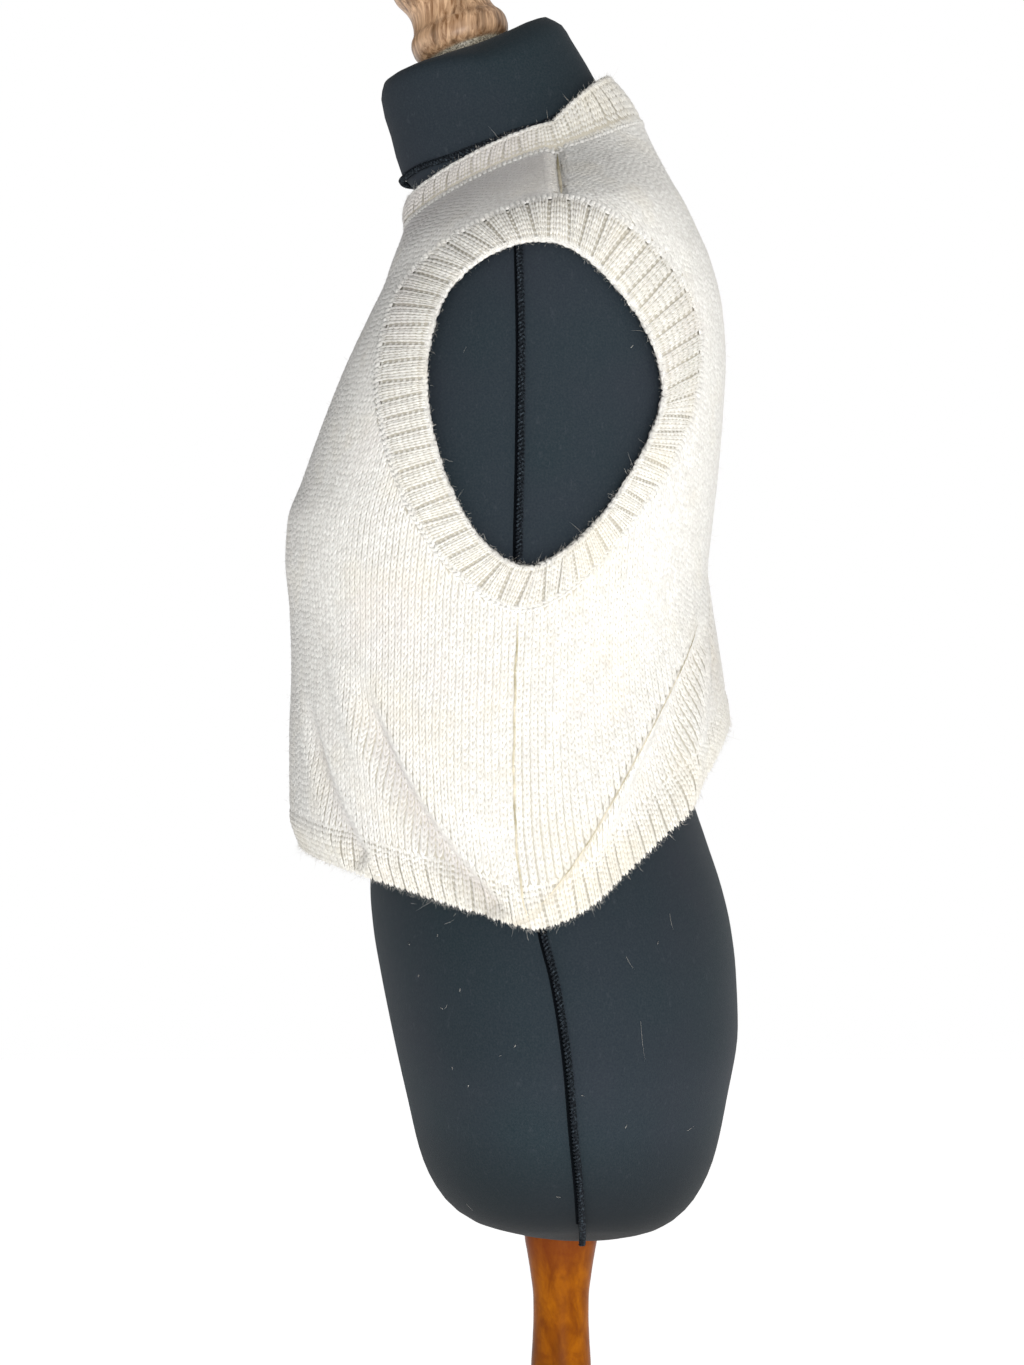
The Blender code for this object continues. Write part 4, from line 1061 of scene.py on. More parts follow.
def insideOutline(y, z, outline):
    nextPoint = np.roll(outline, -1, 0)
    inside = np.zeros(y.shape, bool)
    for (y0, z0), (y1, z1) in zip(outline, nextPoint):
        crosses = (z0 > z) != (z1 > z)
        inside ^= crosses & (y < (y1 - y0) * (z - z0) / (z1 - z0 + 1e-12) + y0)
    return inside


def armholeOutline(margin):
    share = np.linspace(0, 1, 181)[:-1]
    outline = np.stack([armhole[0](share), armhole[1](share)], -1)
    centre = outline.mean(0)
    away = outline - centre
    return centre + away * (1 + margin / np.linalg.norm(away, axis=1, keepdims=True))


def spotsAt(point, up, normal, width, height, plump, tones=(0, 0, 0)):
    # centre, across, outward, size and tone of forms whose y runs along up
    across = unit(np.cross(up, normal))
    size = np.stack([np.broadcast_to(width, len(point)), np.broadcast_to(height, len(point)),
                     np.broadcast_to(plump, len(point))], -1)
    return point, across, normal, size, np.broadcast_to(tones, (len(point), 3))


def stockingSpots(face, side):
    # wales run up from the hem at an even distance from the centre line, and what the armhole,
    # the shoulder or the neck cuts off is left out
    levels = np.linspace(hemLevel, neckLevel, 240)
    turn = np.linspace(0, quarterTurn, 120)
    base = turn if face == "front" else math.pi - turn
    rows = bodyPoint(base, levels[:, None])
    girth = np.pad(np.cumsum(np.linalg.norm(np.diff(rows, axis=1), axis=-1), 1), ((0, 0), (1, 0)))
    reference = np.interp(underarmLevel, levels, girth[:, -1])
    spread = np.where(levels < underarmLevel, reference / girth[:, -1], 1.0)
    girth = girth * spread[:, None]
    count = round(reference / panels["wale"])
    pitch = reference / count
    outline = armholeOutline(0.0014)
    found = []
    for wale in range(count):
        distance = (wale + 0.5) * pitch
        inside = girth[:, -1] >= distance
        last = len(levels) if inside.all() else int(np.argmin(inside))
        angle = np.array([np.interp(distance, girth[k], base) for k in range(last)])
        run = runAlong(bodyPoint(angle, levels[:last]))
        start = np.interp(hemLevel + panels["hemDepth"], levels[:last], run)
        phase = panels["course"] * (0.5 + panels["slip"] * ((0.618 * wale * wale + 0.37 * wale) % 1 - 0.5))
        heights = np.arange(start + phase, run[-1] - 0.1 * panels["course"], panels["course"])
        for offset in (0, 0.5, -0.5):
            at = np.interp(heights + offset * panels["course"], run, levels[:last])
            found.append((np.interp(at, levels[:last], angle), at))
    angle = [np.concatenate([a for a, _ in found[k::3]]) * side for k in range(3)]
    level = [np.concatenate([b for _, b in found[k::3]]) for k in range(3)]
    point = clothPoint(angle[0], level[0], panels["ground"])
    up = clothPoint(angle[1], level[1]) - clothPoint(angle[2], level[2])
    normal = clothNormal(angle[0], level[0])
    flat = bodyPoint(angle[0], level[0])
    keep = ~insideOutline(flat[:, 1], flat[:, 2], outline)
    height = np.linalg.norm(up, axis=1)
    small = 0.004
    wide = clothPoint(angle[0] + small, level[0]) - clothPoint(angle[0] - small, level[0])
    plain = bodyPoint(angle[0] + small, level[0]) - bodyPoint(angle[0] - small, level[0])
    width = pitch * np.linalg.norm(wide, axis=1) / np.linalg.norm(plain, axis=1)
    tones = foldTone(angle[0], level[0])
    spots = spotsAt(point, up, normal, width, height, panels["plump"], tones)
    return [part[keep] for part in spots]


def lastCourse(face):
    # one more course close under the neck seam, where the wales end unevenly
    level = neckLevel - 0.0013
    row = (level, quarterTurn, level, 0)
    angle, _ = rowPlaces(face, row, 200)
    length = runAlong(bodyPoint(angle, np.full(angle.shape, level)))[-1]
    count = 2 * round(length / panels["wale"] / 2)
    angle, levels = rowPlaces(face, row, count * 2)
    angle, levels = angle[1::2], levels[1::2]
    up = clothPoint(angle, levels) - clothPoint(angle, levels - 0.001)
    point = clothPoint(angle, levels, panels["ground"])
    return spotsAt(point, up, clothNormal(angle, levels), length / count, panels["course"], panels["plump"])


seamLadder = {"pitch": 0.0034, "sideWidth": 0.0026, "sidePlump": 0.0004, "shoulderWidth": 0.0115,
              "shoulderPlump": 0.0012}
shadeLine = {"pitch": 0.0019, "width": 0.0011, "lapWidth": 0.0007, "plump": 0.0007, "out": 0.0004}


def seamSpots(side):
    # rungs of yarn that close the side seam and the shoulder seam
    found = []
    for low, high, seam in ((hemLevel, underarmLevel, "side"), (tipLevel, neckLevel, "shoulder")):
        dense = np.linspace(low + 0.001, high - 0.001, 161)
        run = runAlong(clothPoint(np.full(161, quarterTurn * side), dense))
        level = np.interp(np.arange(seamLadder["pitch"] / 2, run[-1], seamLadder["pitch"]), run, dense)
        angle = np.full(level.shape, quarterTurn * side)
        point = clothPoint(angle, level, panels["ground"])
        up = unit(clothPoint(angle, level + 0.001) - clothPoint(angle, level - 0.001))
        found.append(spotsAt(point, up, clothNormal(angle, level), seamLadder[seam + "Width"],
                             seamLadder["pitch"] * 1.3, seamLadder[seam + "Plump"]))
    return joinSpots(*found)


def lineSpots(angle, level, width):
    # small leaves of painted shade, one after the other, along a line on the cloth
    dense = clothPoint(angle, level, shadeLine["out"])
    run = runAlong(dense)
    at = np.arange(0, run[-1], shadeLine["pitch"])
    angle, level = np.interp(at, run, angle), np.interp(at, run, level)
    points = clothPoint(angle, level, shadeLine["out"])
    ahead = np.gradient(points, axis=0)
    fade = np.clip(np.minimum(at, run[-1] - at) / 0.02, 0.25, 1)
    # the leaf form is long in x, so x runs along the line
    normal = clothNormal(angle, level)
    size = np.stack([0 * at + shadeLine["pitch"] * 1.3, width * 2 * fade, shadeLine["plump"] * fade], -1)
    return points, unit(ahead), normal, size, np.zeros((len(points), 3))


def sideLineSpots(side):
    level = np.linspace(underarmLevel - 0.001, hemLevel + 0.002, 200)
    waver = 0.0035 * np.sin(level * 190) * np.sin(level * 71)
    return lineSpots((quarterTurn + waver) * side, level, shadeLine["width"])


def shoulderLineSpots(side):
    level = np.linspace(tipLevel + 0.001, neckLevel - 0.001, 60)
    return lineSpots((quarterTurn + 0.010) * np.full(60, side), level, shadeLine["width"] * 1.5)


def sortedByKind(kind, group, spots):
    # splits one course of a rib into its knit and purl columns
    for key, chosen in (("knit", kind > 0), ("purl", kind == 0)):
        group[key].append([part[chosen] for part in spots])


def hemSpots(face):
    count = hemRib["count"][face]
    place, kind, wide = ribColumns(hemRib, count)
    full = np.where(kind > 0, hemRib["plump"], hemRib["purlPlump"])
    step = panels["hemDepth"] / hemRib["courses"]
    found = {"knit": [], "purl": []}
    for course in range(hemRib["courses"]):
        level = hemLevel + (course + 0.5) * step
        across = 1 - (course + 0.5) / hemRib["courses"]
        angle, flat = hemPlaces(face, (level, quarterTurn, level, 0), place, across)
        point = clothPoint(angle, flat, ribOut(place, hemRib, across))
        plump = full * min(0.55 + 2 * across, 1)
        up = clothPoint(angle, flat + step / 2) - clothPoint(angle, flat - step / 2)
        width = wide * np.linalg.norm(np.gradient(clothPoint(angle, flat), place, axis=0), axis=1)
        height = np.linalg.norm(up, axis=1) * overlap
        tones = foldTone(angle, flat)
        tones[:, 2] = min(across / hemRib["flow"], 1)
        spots = spotsAt(point, up, clothNormal(angle, flat), width, height, plump, tones)
        sortedByKind(kind, found, spots)
    return joinSpots(*found["knit"]), joinSpots(*found["purl"])


# ribbed bands

bands = {
    "wall": 0.0025, "ribs": 54, "perRib": 4, "pointsPerRib": 8, "courses": 8, "innerColumns": 108,
    "base": -0.0018, "relief": 0.0030, "plump": 0.0011, "purlPlump": 0.0009, "flow": 0.16,
    "first": 0.09, "last": 0.95, "firstKnit": 0.225, "knitWidth": 0.31, "purlWidth": 0.17,
    "power": 1.0, "shallower": 0.30, "depths": (0.62, 1.08), "wander": 0.13, "slant": 0.34,
    # painted shade: how dark the grooves are drawn, and none on the front
    "grooveShade": 0.75, "trough": 0.0, "tint": 0.45,
}
uneven(bands, bands["ribs"], 42, 0.16)


def ribbedSpots(placeAt, rib):
    # placeAt gives points and normals for every column at a share across the band
    place, kind, wide = ribColumns(rib, rib["ribs"])
    step = (rib["last"] - rib["first"]) / (rib["courses"] - 1)
    plump = np.where(kind > 0, rib["plump"], rib["purlPlump"])
    deep = rib["deep"][np.round(place).astype(int) % rib["ribs"]]
    flat = np.zeros(len(place))
    found = {"knit": [], "purl": []}
    for across in np.linspace(rib["first"], rib["last"], rib["courses"]):
        point, normal = placeAt(place, across, ribOut(place, rib, across))
        up = placeAt(place, across + step / 2, flat)[0] - placeAt(place, across - step / 2, flat)[0]
        width = wide * np.linalg.norm(np.gradient(placeAt(place, across, flat)[0], place, axis=0), axis=1)
        height = np.linalg.norm(up, axis=1) * overlap
        # painted shade: purl columns darkened in the deeper grooves, and the band's front, which faces up
        # away from the light, darkened as far as the rib's dictionary asks
        line = np.where(kind == 0, rib["grooveShade"] * deep ** 2 * (1 - 0.6 * across), 0)
        front = np.clip((-0.002 - point[:, 1]) / 0.030, 0, 1)
        tones = np.stack([rib["trough"] * front, line, rib["tint"] + 0 * line], -1)
        sortedByKind(kind, found, spotsAt(point, up, normal, width, height, plump, tones))
    return joinSpots(*found["knit"]), joinSpots(*found["purl"])


def bandNormal(shares, across, side):
    angle, level = bandPlace(shares, across)
    return bodyNormal(angle, level) * [side, 1, 1]


def bandShares(place, across):
    even = evenShares(0, 1, bands["ribs"] * ribSteps, 0.5)
    wanted = wandered(place, bands, across) % bands["ribs"]
    return np.interp(wanted * ribSteps, np.arange(len(even)), even)


def armholeWall(name, side):
    place = np.arange(bands["ribs"] * bands["pointsPerRib"]) / bands["pointsPerRib"]
    outer = [bandPoint(bandShares(place, across), across, ribOut(place, bands, across), side)
             for across in (0.975, 0.92, 0.84, 0.72, 0.60, 0.48, 0.36, 0.24, 0.12, 0.01)]
    coarse = evenShares(0, 1, bands["innerColumns"], 0.5)[:-1]
    depths = ((0.975, -0.0018), (0.86, -bands["wall"]), (0.58, -bands["wall"]), (0.30, -bands["wall"]),
              (0.01, -bands["wall"]))
    inner = [bandPoint(coarse, across, depth + 0 * coarse, side) for across, depth in depths]
    edge = bandPoint(bandShares(place, 0.99), 0.99, -0.0011 + 0 * place, side)
    return clothWall(name, outer, edge, inner, [shadedGroundFinish, creamInsideFinish], True)


def armholeSpots(side):
    def placeAt(place, across, out):
        shares = bandShares(place, across)
        return bandPoint(shares, across, out, side), bandNormal(shares, across, side)

    return ribbedSpots(placeAt, bands)


neckTop = dict(zip(ringColumns, (1.4005, 0.0620, -0.006, 1.3655, -0.0925, 1.4380, 0.0303, 2.0)))
neckSlants = (1.25, 1.0)
neck = {
    "wall": 0.0025, "ribs": 46, "perRib": 3, "pointsPerRib": 6, "courses": 7, "innerColumns": 92,
    "base": -0.0017, "relief": 0.0016, "plump": 0.0010, "purlPlump": 0.0008, "flow": 0.30, "bulge": 0.0016,
    "first": 0.10, "last": 0.94, "firstKnit": 0.285, "knitWidth": 0.46, "purlWidth": 0.22,
    "power": 1.0, "shallower": 0.20, "depths": (0.40, 1.1), "wander": 0.15, "slant": 0.40,
    # painted shade: how dark the grooves are drawn, and the front's shade where it faces up away from the
    # light
    "grooveShade": 0.80, "trough": 1.0, "tint": 1.0,
}
uneven(neck, neck["ribs"], 43)
neckBottom = {name: curve(neckLevel) for name, curve in bodyCurves.items()}


def neckPoint(angle, across, out=0.0):
    def ring(turn, share):
        low, high = ringPoint(turn, neckBottom), ringPoint(turn, neckTop, neckSlants)
        return low + (high - low) * share

    small = 0.001
    around = ring(angle + small, 0.5) - ring(angle - small, 0.5)
    own = unit(np.cross(around, ring(angle, 1.0) - ring(angle, 0.0)))
    share = np.minimum(1, np.asarray(across) / 0.5)
    normal = unit(bodyNormal(angle, neckLevel) * (1 - share) + own * share)
    crease = shoulderCrease["depth"] * bell(girthOf(np.minimum(angle, wholeTurn - angle), neckLevel)
                                            / shoulderCrease["halfWidth"])
    out = np.asarray(out) - crease * np.clip(1 - np.asarray(across) / 0.5, 0, 1)
    out = out + neck["bulge"] * np.sin(math.pi * np.clip(across, 0, 1))
    return ring(angle, across) + normal * out[..., None], normal


def neckAngles(count, across=0.5):
    dense = np.linspace(0, wholeTurn, 721)
    run = runAlong(neckPoint(dense, across)[0])
    return np.interp(np.linspace(0, run[-1], count + 1), run, dense)[:-1]


def neckTurns(place, across):
    even = np.append(neckAngles(neck["ribs"] * ribSteps), wholeTurn)
    wanted = wandered(place, neck, across) % neck["ribs"]
    return np.interp(wanted * ribSteps, np.arange(len(even)), even)


def neckWall(name):
    place = np.arange(neck["ribs"] * neck["pointsPerRib"]) / neck["pointsPerRib"]
    outer = [neckPoint(neckTurns(place, across), across, ribOut(place, neck, across))[0]
             for across in (0.975, 0.92, 0.84, 0.70, 0.56, 0.42, 0.28, 0.14, 0.01)]
    coarse = neckAngles(neck["innerColumns"])
    depths = ((0.975, -0.0018), (0.84, -neck["wall"]), (0.55, -neck["wall"]), (0.28, -neck["wall"]),
              (0.01, -neck["wall"]))
    inner = [neckPoint(coarse, across, depth)[0] for across, depth in depths]
    edge = neckPoint(neckTurns(place, 0.99), 0.99, -0.0011)[0]
    return clothWall(name, outer, edge, inner, [shadedGroundFinish, creamInsideFinish], True)


def neckSpots():
    return ribbedSpots(lambda place, across, out: neckPoint(neckTurns(place, across), across, out), neck)


# linked seams where each band joins the panels, and the cast-off along its free edge

chain = {"pitch": 0.0032, "width": 0.0040, "plump": 0.0021, "lift": -0.0005, "neckLift": -0.0010}
castOff = {"pitch": 0.0036, "radius": 0.0007, "width": 0.0021, "plump": 0.0011, "sink": -0.0010,
           "turns": (-35, 20, 75, 130, 185)}


def chainSpots(points, normals):
    ahead = (np.roll(points, -1, 0) - np.roll(points, 1, 0)) / 2
    return spotsAt(points, ahead, normals, chain["width"], np.linalg.norm(ahead, axis=1), chain["plump"])


def castOffSpots(edge, inward, normals):
    away = unit(edge - inward)
    away = unit(away - normals * (away * normals).sum(-1, keepdims=True))
    ahead = (np.roll(edge, -1, 0) - np.roll(edge, 1, 0)) / 2
    found = []
    for turn in castOff["turns"]:
        outward = normals * math.cos(math.radians(turn)) + away * math.sin(math.radians(turn))
        found.append(spotsAt(edge + outward * castOff["radius"], ahead, outward, castOff["width"],
                             np.linalg.norm(ahead, axis=1) * 1.1, castOff["plump"]))
    return joinSpots(*found)


def ringLength(points):
    return runAlong(np.concatenate([points, points[:1]]))[-1]


def armholeChain(side):
    dense = evenShares(0, 1, 240)[:-1]
    length = ringLength(bandPoint(dense, 0.0, 0 * dense, side))
    shares = evenShares(0, 1, round(length / chain["pitch"]))[:-1]
    points = bandPoint(shares, 0.0, chain["lift"] + 0 * shares, side)
    return chainSpots(points, bandNormal(shares, 0.0, side))


def armholeCastOff(side):
    dense = evenShares(0, 1, 240, 1.0)[:-1]
    length = ringLength(bandPoint(dense, 1.0, 0 * dense, side))
    shares = evenShares(0, 1, round(length / castOff["pitch"]), 1.0)[:-1]
    edge = bandPoint(shares, 0.985, castOff["sink"] + 0 * shares, side)
    inward = bandPoint(shares, 0.85, castOff["sink"] + 0 * shares, side)
    return castOffSpots(edge, inward, bandNormal(shares, 0.98, side))


def neckChain():
    length = ringLength(neckPoint(neckAngles(240, 0.0), 0.0)[0])
    angle = neckAngles(round(length / chain["pitch"]), 0.0)
    return chainSpots(*neckPoint(angle, 0.02, chain["neckLift"]))


def neckCastOff():
    length = ringLength(neckPoint(neckAngles(240, 1.0), 1.0)[0])
    angle = neckAngles(round(length / castOff["pitch"]), 1.0)
    edge, normal = neckPoint(angle, 0.985, castOff["sink"])
    return castOffSpots(edge, neckPoint(angle, 0.85, castOff["sink"])[0], normal)


# halo of loose fibres

random = np.random.default_rng(5)


def fuzzSpots(centre, outward, count, length, spread):
    chosen = random.integers(0, len(centre), count)
    jitter = random.normal(0, spread, (count, 3))
    lengths = length * random.uniform(0.45, 1.25, count)
    heading = unit(outward[chosen] + random.normal(0, 0.35, (count, 3)))
    across = unit(np.cross(heading, random.normal(0, 1, (count, 3))))
    thick = np.minimum(lengths, fibre["thickest"])
    size = np.stack([thick, thick, lengths], -1)
    return centre[chosen] + jitter, across, heading, size, np.zeros((count, 3))


def faceFuzz(spots, plump, count, length, spread):
    # hairs that stand on the crowns of the stitches
    return fuzzSpots(spots[0] + spots[2] * plump * 0.6, spots[2], count, length, spread)


def edgeFuzz(edge, inward, normals, count):
    # hairs that stand off a free edge, partly along its surface and partly outwards
    away = unit(edge - inward)
    mix = random.uniform(0.1, 0.9, (len(edge), 1))
    outward = unit(away * mix + normals * (1 - mix))
    longer = round(count * fibre["longShare"])
    return joinSpots(fuzzSpots(edge, outward, count, fibre["length"], 0.0010),
                     fuzzSpots(edge, outward, longer, fibre["longLength"], 0.0015))


pieces = {}


def finishPiece(piece, slotName, *nodes):
    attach(piece, "root")
    if nodes:
        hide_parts(*nodes)
    pieces[piece.name] = piece
    return piece


def yarnPiece(name, form, spots, slotName, uneven, seed, finish=creamYarnFinish):
    return finishPiece(placeForms(name, form, spots, finish, uneven, 0.06, 0.04, seed), slotName)


def fuzzPiece(name, slotName, seed, *groups):
    placed = placeForms(name, hairForm, joinSpots(*groups), fuzzFinish, 0.3, 0.6, 3.1, seed)
    return finishPiece(placed, slotName)


for face in ("front", "back"):
    finishPiece(panelWall(face + "Cloth", face), "cream_knit", face)
    stocking = joinSpots(stockingSpots(face, 1), stockingSpots(face, -1), lastCourse(face))
    hemKnit, hemPurl = hemSpots(face)
    yarnPiece(face + "Stitches", knitForm, stocking, "cream_knit", 0.07, 11)
    yarnPiece(face + "HemRib", ribForm, hemKnit, "cream_knit", 0.06, 12)
    yarnPiece(face + "HemGroove", purlForm, hemPurl, "cream_knit", 0.10, 13)
    surface = faceFuzz(stocking, panels["plump"], fibre["perPanel"], fibre["length"], 0.0010)
    angle, level = rowPlaces(face, (hemLevel, quarterTurn, hemLevel, 0), 400)
    hemEdge, hemAbove = clothPoint(angle, level, -0.0008), clothPoint(angle, level + 0.004, -0.0008)
    hemHairs = edgeFuzz(hemEdge, hemAbove, clothNormal(angle, level), fibre["perHem"])
    fuzzPiece(face + "Fuzz", "cream_knit", 14, surface, hemHairs)
    print(face, "knitted:", len(stocking[0]), "stitches")

for label, side in (("left", 1), ("right", -1)):
    yarnPiece("seamLadder_" + label, purlForm, seamSpots(side), "cream_knit", 0.10, 15)
    # painted shade: dark leaves along the side and shoulder seams and along the laps of crisp folds, where
    # their shadow falls
    laps = [lineSpots(*foldLine(fold, 160, -fold[7] * 0.35), shadeLine["lapWidth"])
            for fold in folds if fold[0] == side and fold[7] < crispFold]
    lines = joinSpots(sideLineSpots(side), shoulderLineSpots(side), *laps)
    yarnPiece("seamLine_" + label, purlForm, lines, "cream_knit", 0.25, 16, seamShadeFinish)
    finishPiece(armholeWall("armholeBand_" + label, side), "cream_rib", "armhole_band_" + label)
    knit, purl = armholeSpots(side)
    yarnPiece("armholeRib_" + label, ribForm, knit, "cream_rib", 0.06, 21)
    yarnPiece("armholeGroove_" + label, purlForm, purl, "cream_rib", 0.10, 22)
    yarnPiece("armholeSeam_" + label, chainForm, armholeChain(side), "cream_rib", 0.08, 23)
    yarnPiece("armholeCastOff_" + label, chainForm, armholeCastOff(side), "cream_rib", 0.42, 24)
    shares = evenShares(0, 1, 400, 1.0)[:-1]
    edge = bandPoint(shares, 1.0, -0.0008 + 0 * shares, side)
    inward = bandPoint(shares, 0.85, -0.0008 + 0 * shares, side)
    hairs = edgeFuzz(edge, inward, bandNormal(shares, 0.97, side), fibre["perArmhole"])
    surface = faceFuzz(knit, bands["plump"], fibre["perBandFace"], fibre["shortLength"], 0.0008)
    fuzzPiece("armholeFuzz_" + label, "cream_rib", 25, hairs, surface)
print("armhole bands knitted")

finishPiece(neckWall("neckbandCloth"), "cream_rib", "neckband")
knit, purl = neckSpots()
yarnPiece("neckRib", ribForm, knit, "cream_rib", 0.06, 31)
yarnPiece("neckGroove", purlForm, purl, "cream_rib", 0.10, 32)
yarnPiece("neckSeam", chainForm, neckChain(), "cream_rib", 0.08, 33)
yarnPiece("neckCastOff", chainForm, neckCastOff(), "cream_rib", 0.20, 34)
angle = neckAngles(300)
edge, normal = neckPoint(angle, 1.0, -0.0008)
hairs = edgeFuzz(edge, neckPoint(angle, 0.85, -0.0008)[0], normal, fibre["perNeck"])
surface = faceFuzz(knit, neck["plump"], fibre["perNeckFace"], fibre["shortLength"], 0.0008)
fuzzPiece("neckFuzz", "cream_rib", 35, hairs, surface)
print("neckband knitted")


# the dress form

formLow = [
    (0.7640, 0.0880, 0.010, 0.7580, -0.0420, 0.7580, 0.0620, 2.1),
    (0.7710, 0.1080, 0.006, 0.7640, -0.0580, 0.7640, 0.0705, 2.1),
    (0.7830, 0.1260, 0.003, 0.7750, -0.0715, 0.7750, 0.0805, 2.1),
    (0.8030, 0.1420, 0.000, 0.7960, -0.0830, 0.7960, 0.0905, 2.1),
    (0.8350, 0.1555, -0.002, 0.8320, -0.0920, 0.8320, 0.0985, 2.1),
    (0.8746, 0.1660, -0.004, 0.8746, -0.1014, 0.8746, 0.1050, 2.1),
    (0.9076, 0.1655, -0.005, 0.9076, -0.1080, 0.9076, 0.1038, 2.1),
    (0.9328, 0.1620, -0.007, 0.9328, -0.1122, 0.9328, 0.1008, 2.1),
    (0.9560, 0.1560, -0.009, 0.9560, -0.1140, 0.9560, 0.0955, 2.1),
    (0.9850, 0.1470, -0.012, 0.9850, -0.1125, 0.9850, 0.0860, 2.1),
    (1.0150, 0.1390, -0.014, 1.0150, -0.1080, 1.0150, 0.0765, 2.1),
    (1.0450, 0.1330, -0.016, 1.0450, -0.1050, 1.0480, 0.0710, 2.1),
    (1.0800, 0.1360, -0.019, 1.0850, -0.1100, 1.0900, 0.0705, 2.15),
    (1.1170, 0.1500, -0.023, 1.1280, -0.1340, 1.1380, 0.0760, 2.2),
]
formNeck = [
    (1.3920, 0.0590, -0.010, 1.3630, -0.0886, 1.4180, 0.0370, 2.0),
    (1.3990, 0.0552, -0.020, 1.3725, -0.0878, 1.4250, 0.0295, 2.0),
    (1.4060, 0.0552, -0.030, 1.3810, -0.0950, 1.4330, 0.0235, 2.0),
    (1.4200, 0.0560, -0.038, 1.4050, -0.1020, 1.4470, 0.0155, 2.0),
    (1.4350, 0.0560, -0.046, 1.4270, -0.1078, 1.4625, 0.0060, 2.0),
    (1.4412, 0.0530, -0.050, 1.4355, -0.1062, 1.4705, 0.0010, 2.0),
    (1.4462, 0.0460, -0.052, 1.4400, -0.0980, 1.4755, -0.0080, 2.0),
]
formEase = [
    # level, front, side, back: how far the form lies inside the cloth's outer face
    (1.1500, 0.0048, 0.0080, 0.0060),
    (1.1900, 0.0048, 0.0080, 0.0048),
    (1.2350, 0.0048, 0.0080, 0.0048),
    (1.2750, 0.0044, 0.0080, 0.0044),
    (1.3060, 0.0042, 0.0080, 0.0044),
    (1.3265, 0.0042, 0.0078, 0.0044),
    (1.3395, 0.0042, 0.0062, 0.0044),
    (1.3515, 0.0042, 0.0042, 0.0044),
    (1.3645, 0.0042, 0.0040, 0.0044),
    (1.3760, 0.0042, 0.0042, 0.0044),
    (1.3848, 0.0042, 0.0044, 0.0044),
]
neckSeat = {"y": -0.0560, "z": 1.4520, "slope": 0.362, "share": 0.62, "crown": 0.0012}
form = {"columns": 112, "rowGap": 0.0065, "flatHalfWidth": 0.052, "flatHalfDepth": 0.036, "flatY": 0.012}


def underCloth():
    level, halfWidth, sideY, frontZ, frontY, backZ, backY, fullness = np.array(bodyRings).T
    ease = np.array(formEase).T
    easeFront, easeSide, easeBack = [smoothCurve(ease[0], ease[k])(level) for k in (1, 2, 3)]

    def movedIn(out, up, by):
        run, rise = np.gradient(out), np.gradient(up)
        length = np.hypot(run, rise)
        return out - by * rise / length, up + by * run / length

    halfWidth, levelIn = movedIn(halfWidth, level, easeSide)
    frontOut, frontZ = movedIn(-frontY, frontZ, easeFront)
    backY, backZ = movedIn(backY, backZ, easeBack)
    rows = np.stack([levelIn, halfWidth, sideY, frontZ, -frontOut, backZ, backY, fullness], -1)
    return [tuple(row) for row, lowest in zip(rows, level) if lowest > underarmLevel]


formRows = formLow + underCloth() + formNeck
formPoint = makeLoft(formRows)[0]


def seatHeight(y):
    return neckSeat["z"] + (y - neckSeat["y"]) * neckSeat["slope"]


def formNormal(angle, level):
    return surfaceNormal(formPoint, angle, level, formRows[0][0], formRows[-1][0])


def formTorso(name):
    angle = np.linspace(0, wholeTurn, form["columns"] + 1)[:-1]
    levels = []
    for low, high in zip(formRows, formRows[1:]):
        steps = max(2, round((high[0] - low[0]) / form["rowGap"]))
        levels += list(np.linspace(low[0], high[0], steps + 1)[:-1])
    top = formPoint(angle, np.full(angle.shape, formRows[-1][0]))
    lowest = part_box("form_torso")[0].z
    flatX = form["flatHalfWidth"] * np.sin(angle)
    flatY = form["flatY"] - form["flatHalfDepth"] * np.cos(angle)
    flat = np.stack([flatX, flatY, np.full(angle.shape, lowest)], -1)
    centre = np.array([0, form["flatY"], lowest])
    first = formPoint(angle, np.full(angle.shape, levels[0]))
    rows = [centre + (flat - centre) * 0.5, flat]
    for share in (0.35, 0.7):  # the curve from the flat to the first ring
        row = flat + (first - flat) * share
        row[:, 2] = lowest + (first[:, 2] - lowest) * share ** 1.6
        rows.append(row)
    rows += [formPoint(angle, np.full(angle.shape, level)) for level in levels]
    for step in (0.0, 0.15, 0.35, 0.6, 0.8, 1.0, 2.0):
        # over the crowned rim onto the flat that carries the neck cap
        row = top.copy()
        share = 1 - (1 - neckSeat["share"]) * step
        row[:, :2] = [0, neckSeat["y"]] + (top[:, :2] - [0, neckSeat["y"]]) * share
        over = min(step, 1)
        row[:, 2] = top[:, 2] + (seatHeight(row[:, 1]) - top[:, 2]) * over
        row[:, 2] += neckSeat["crown"] * math.sin(math.pi * over)
        rows.append(row)
    points = np.concatenate(rows + [[centre, [0, neckSeat["y"], neckSeat["z"]]]])
    return meshObject(name, points, ringFaces(len(rows), len(angle)), [jerseyFinish])


torso = finishPiece(formTorso("formTorso"), "dark_jersey", "form_torso")
print("dress form made")


# piping cords

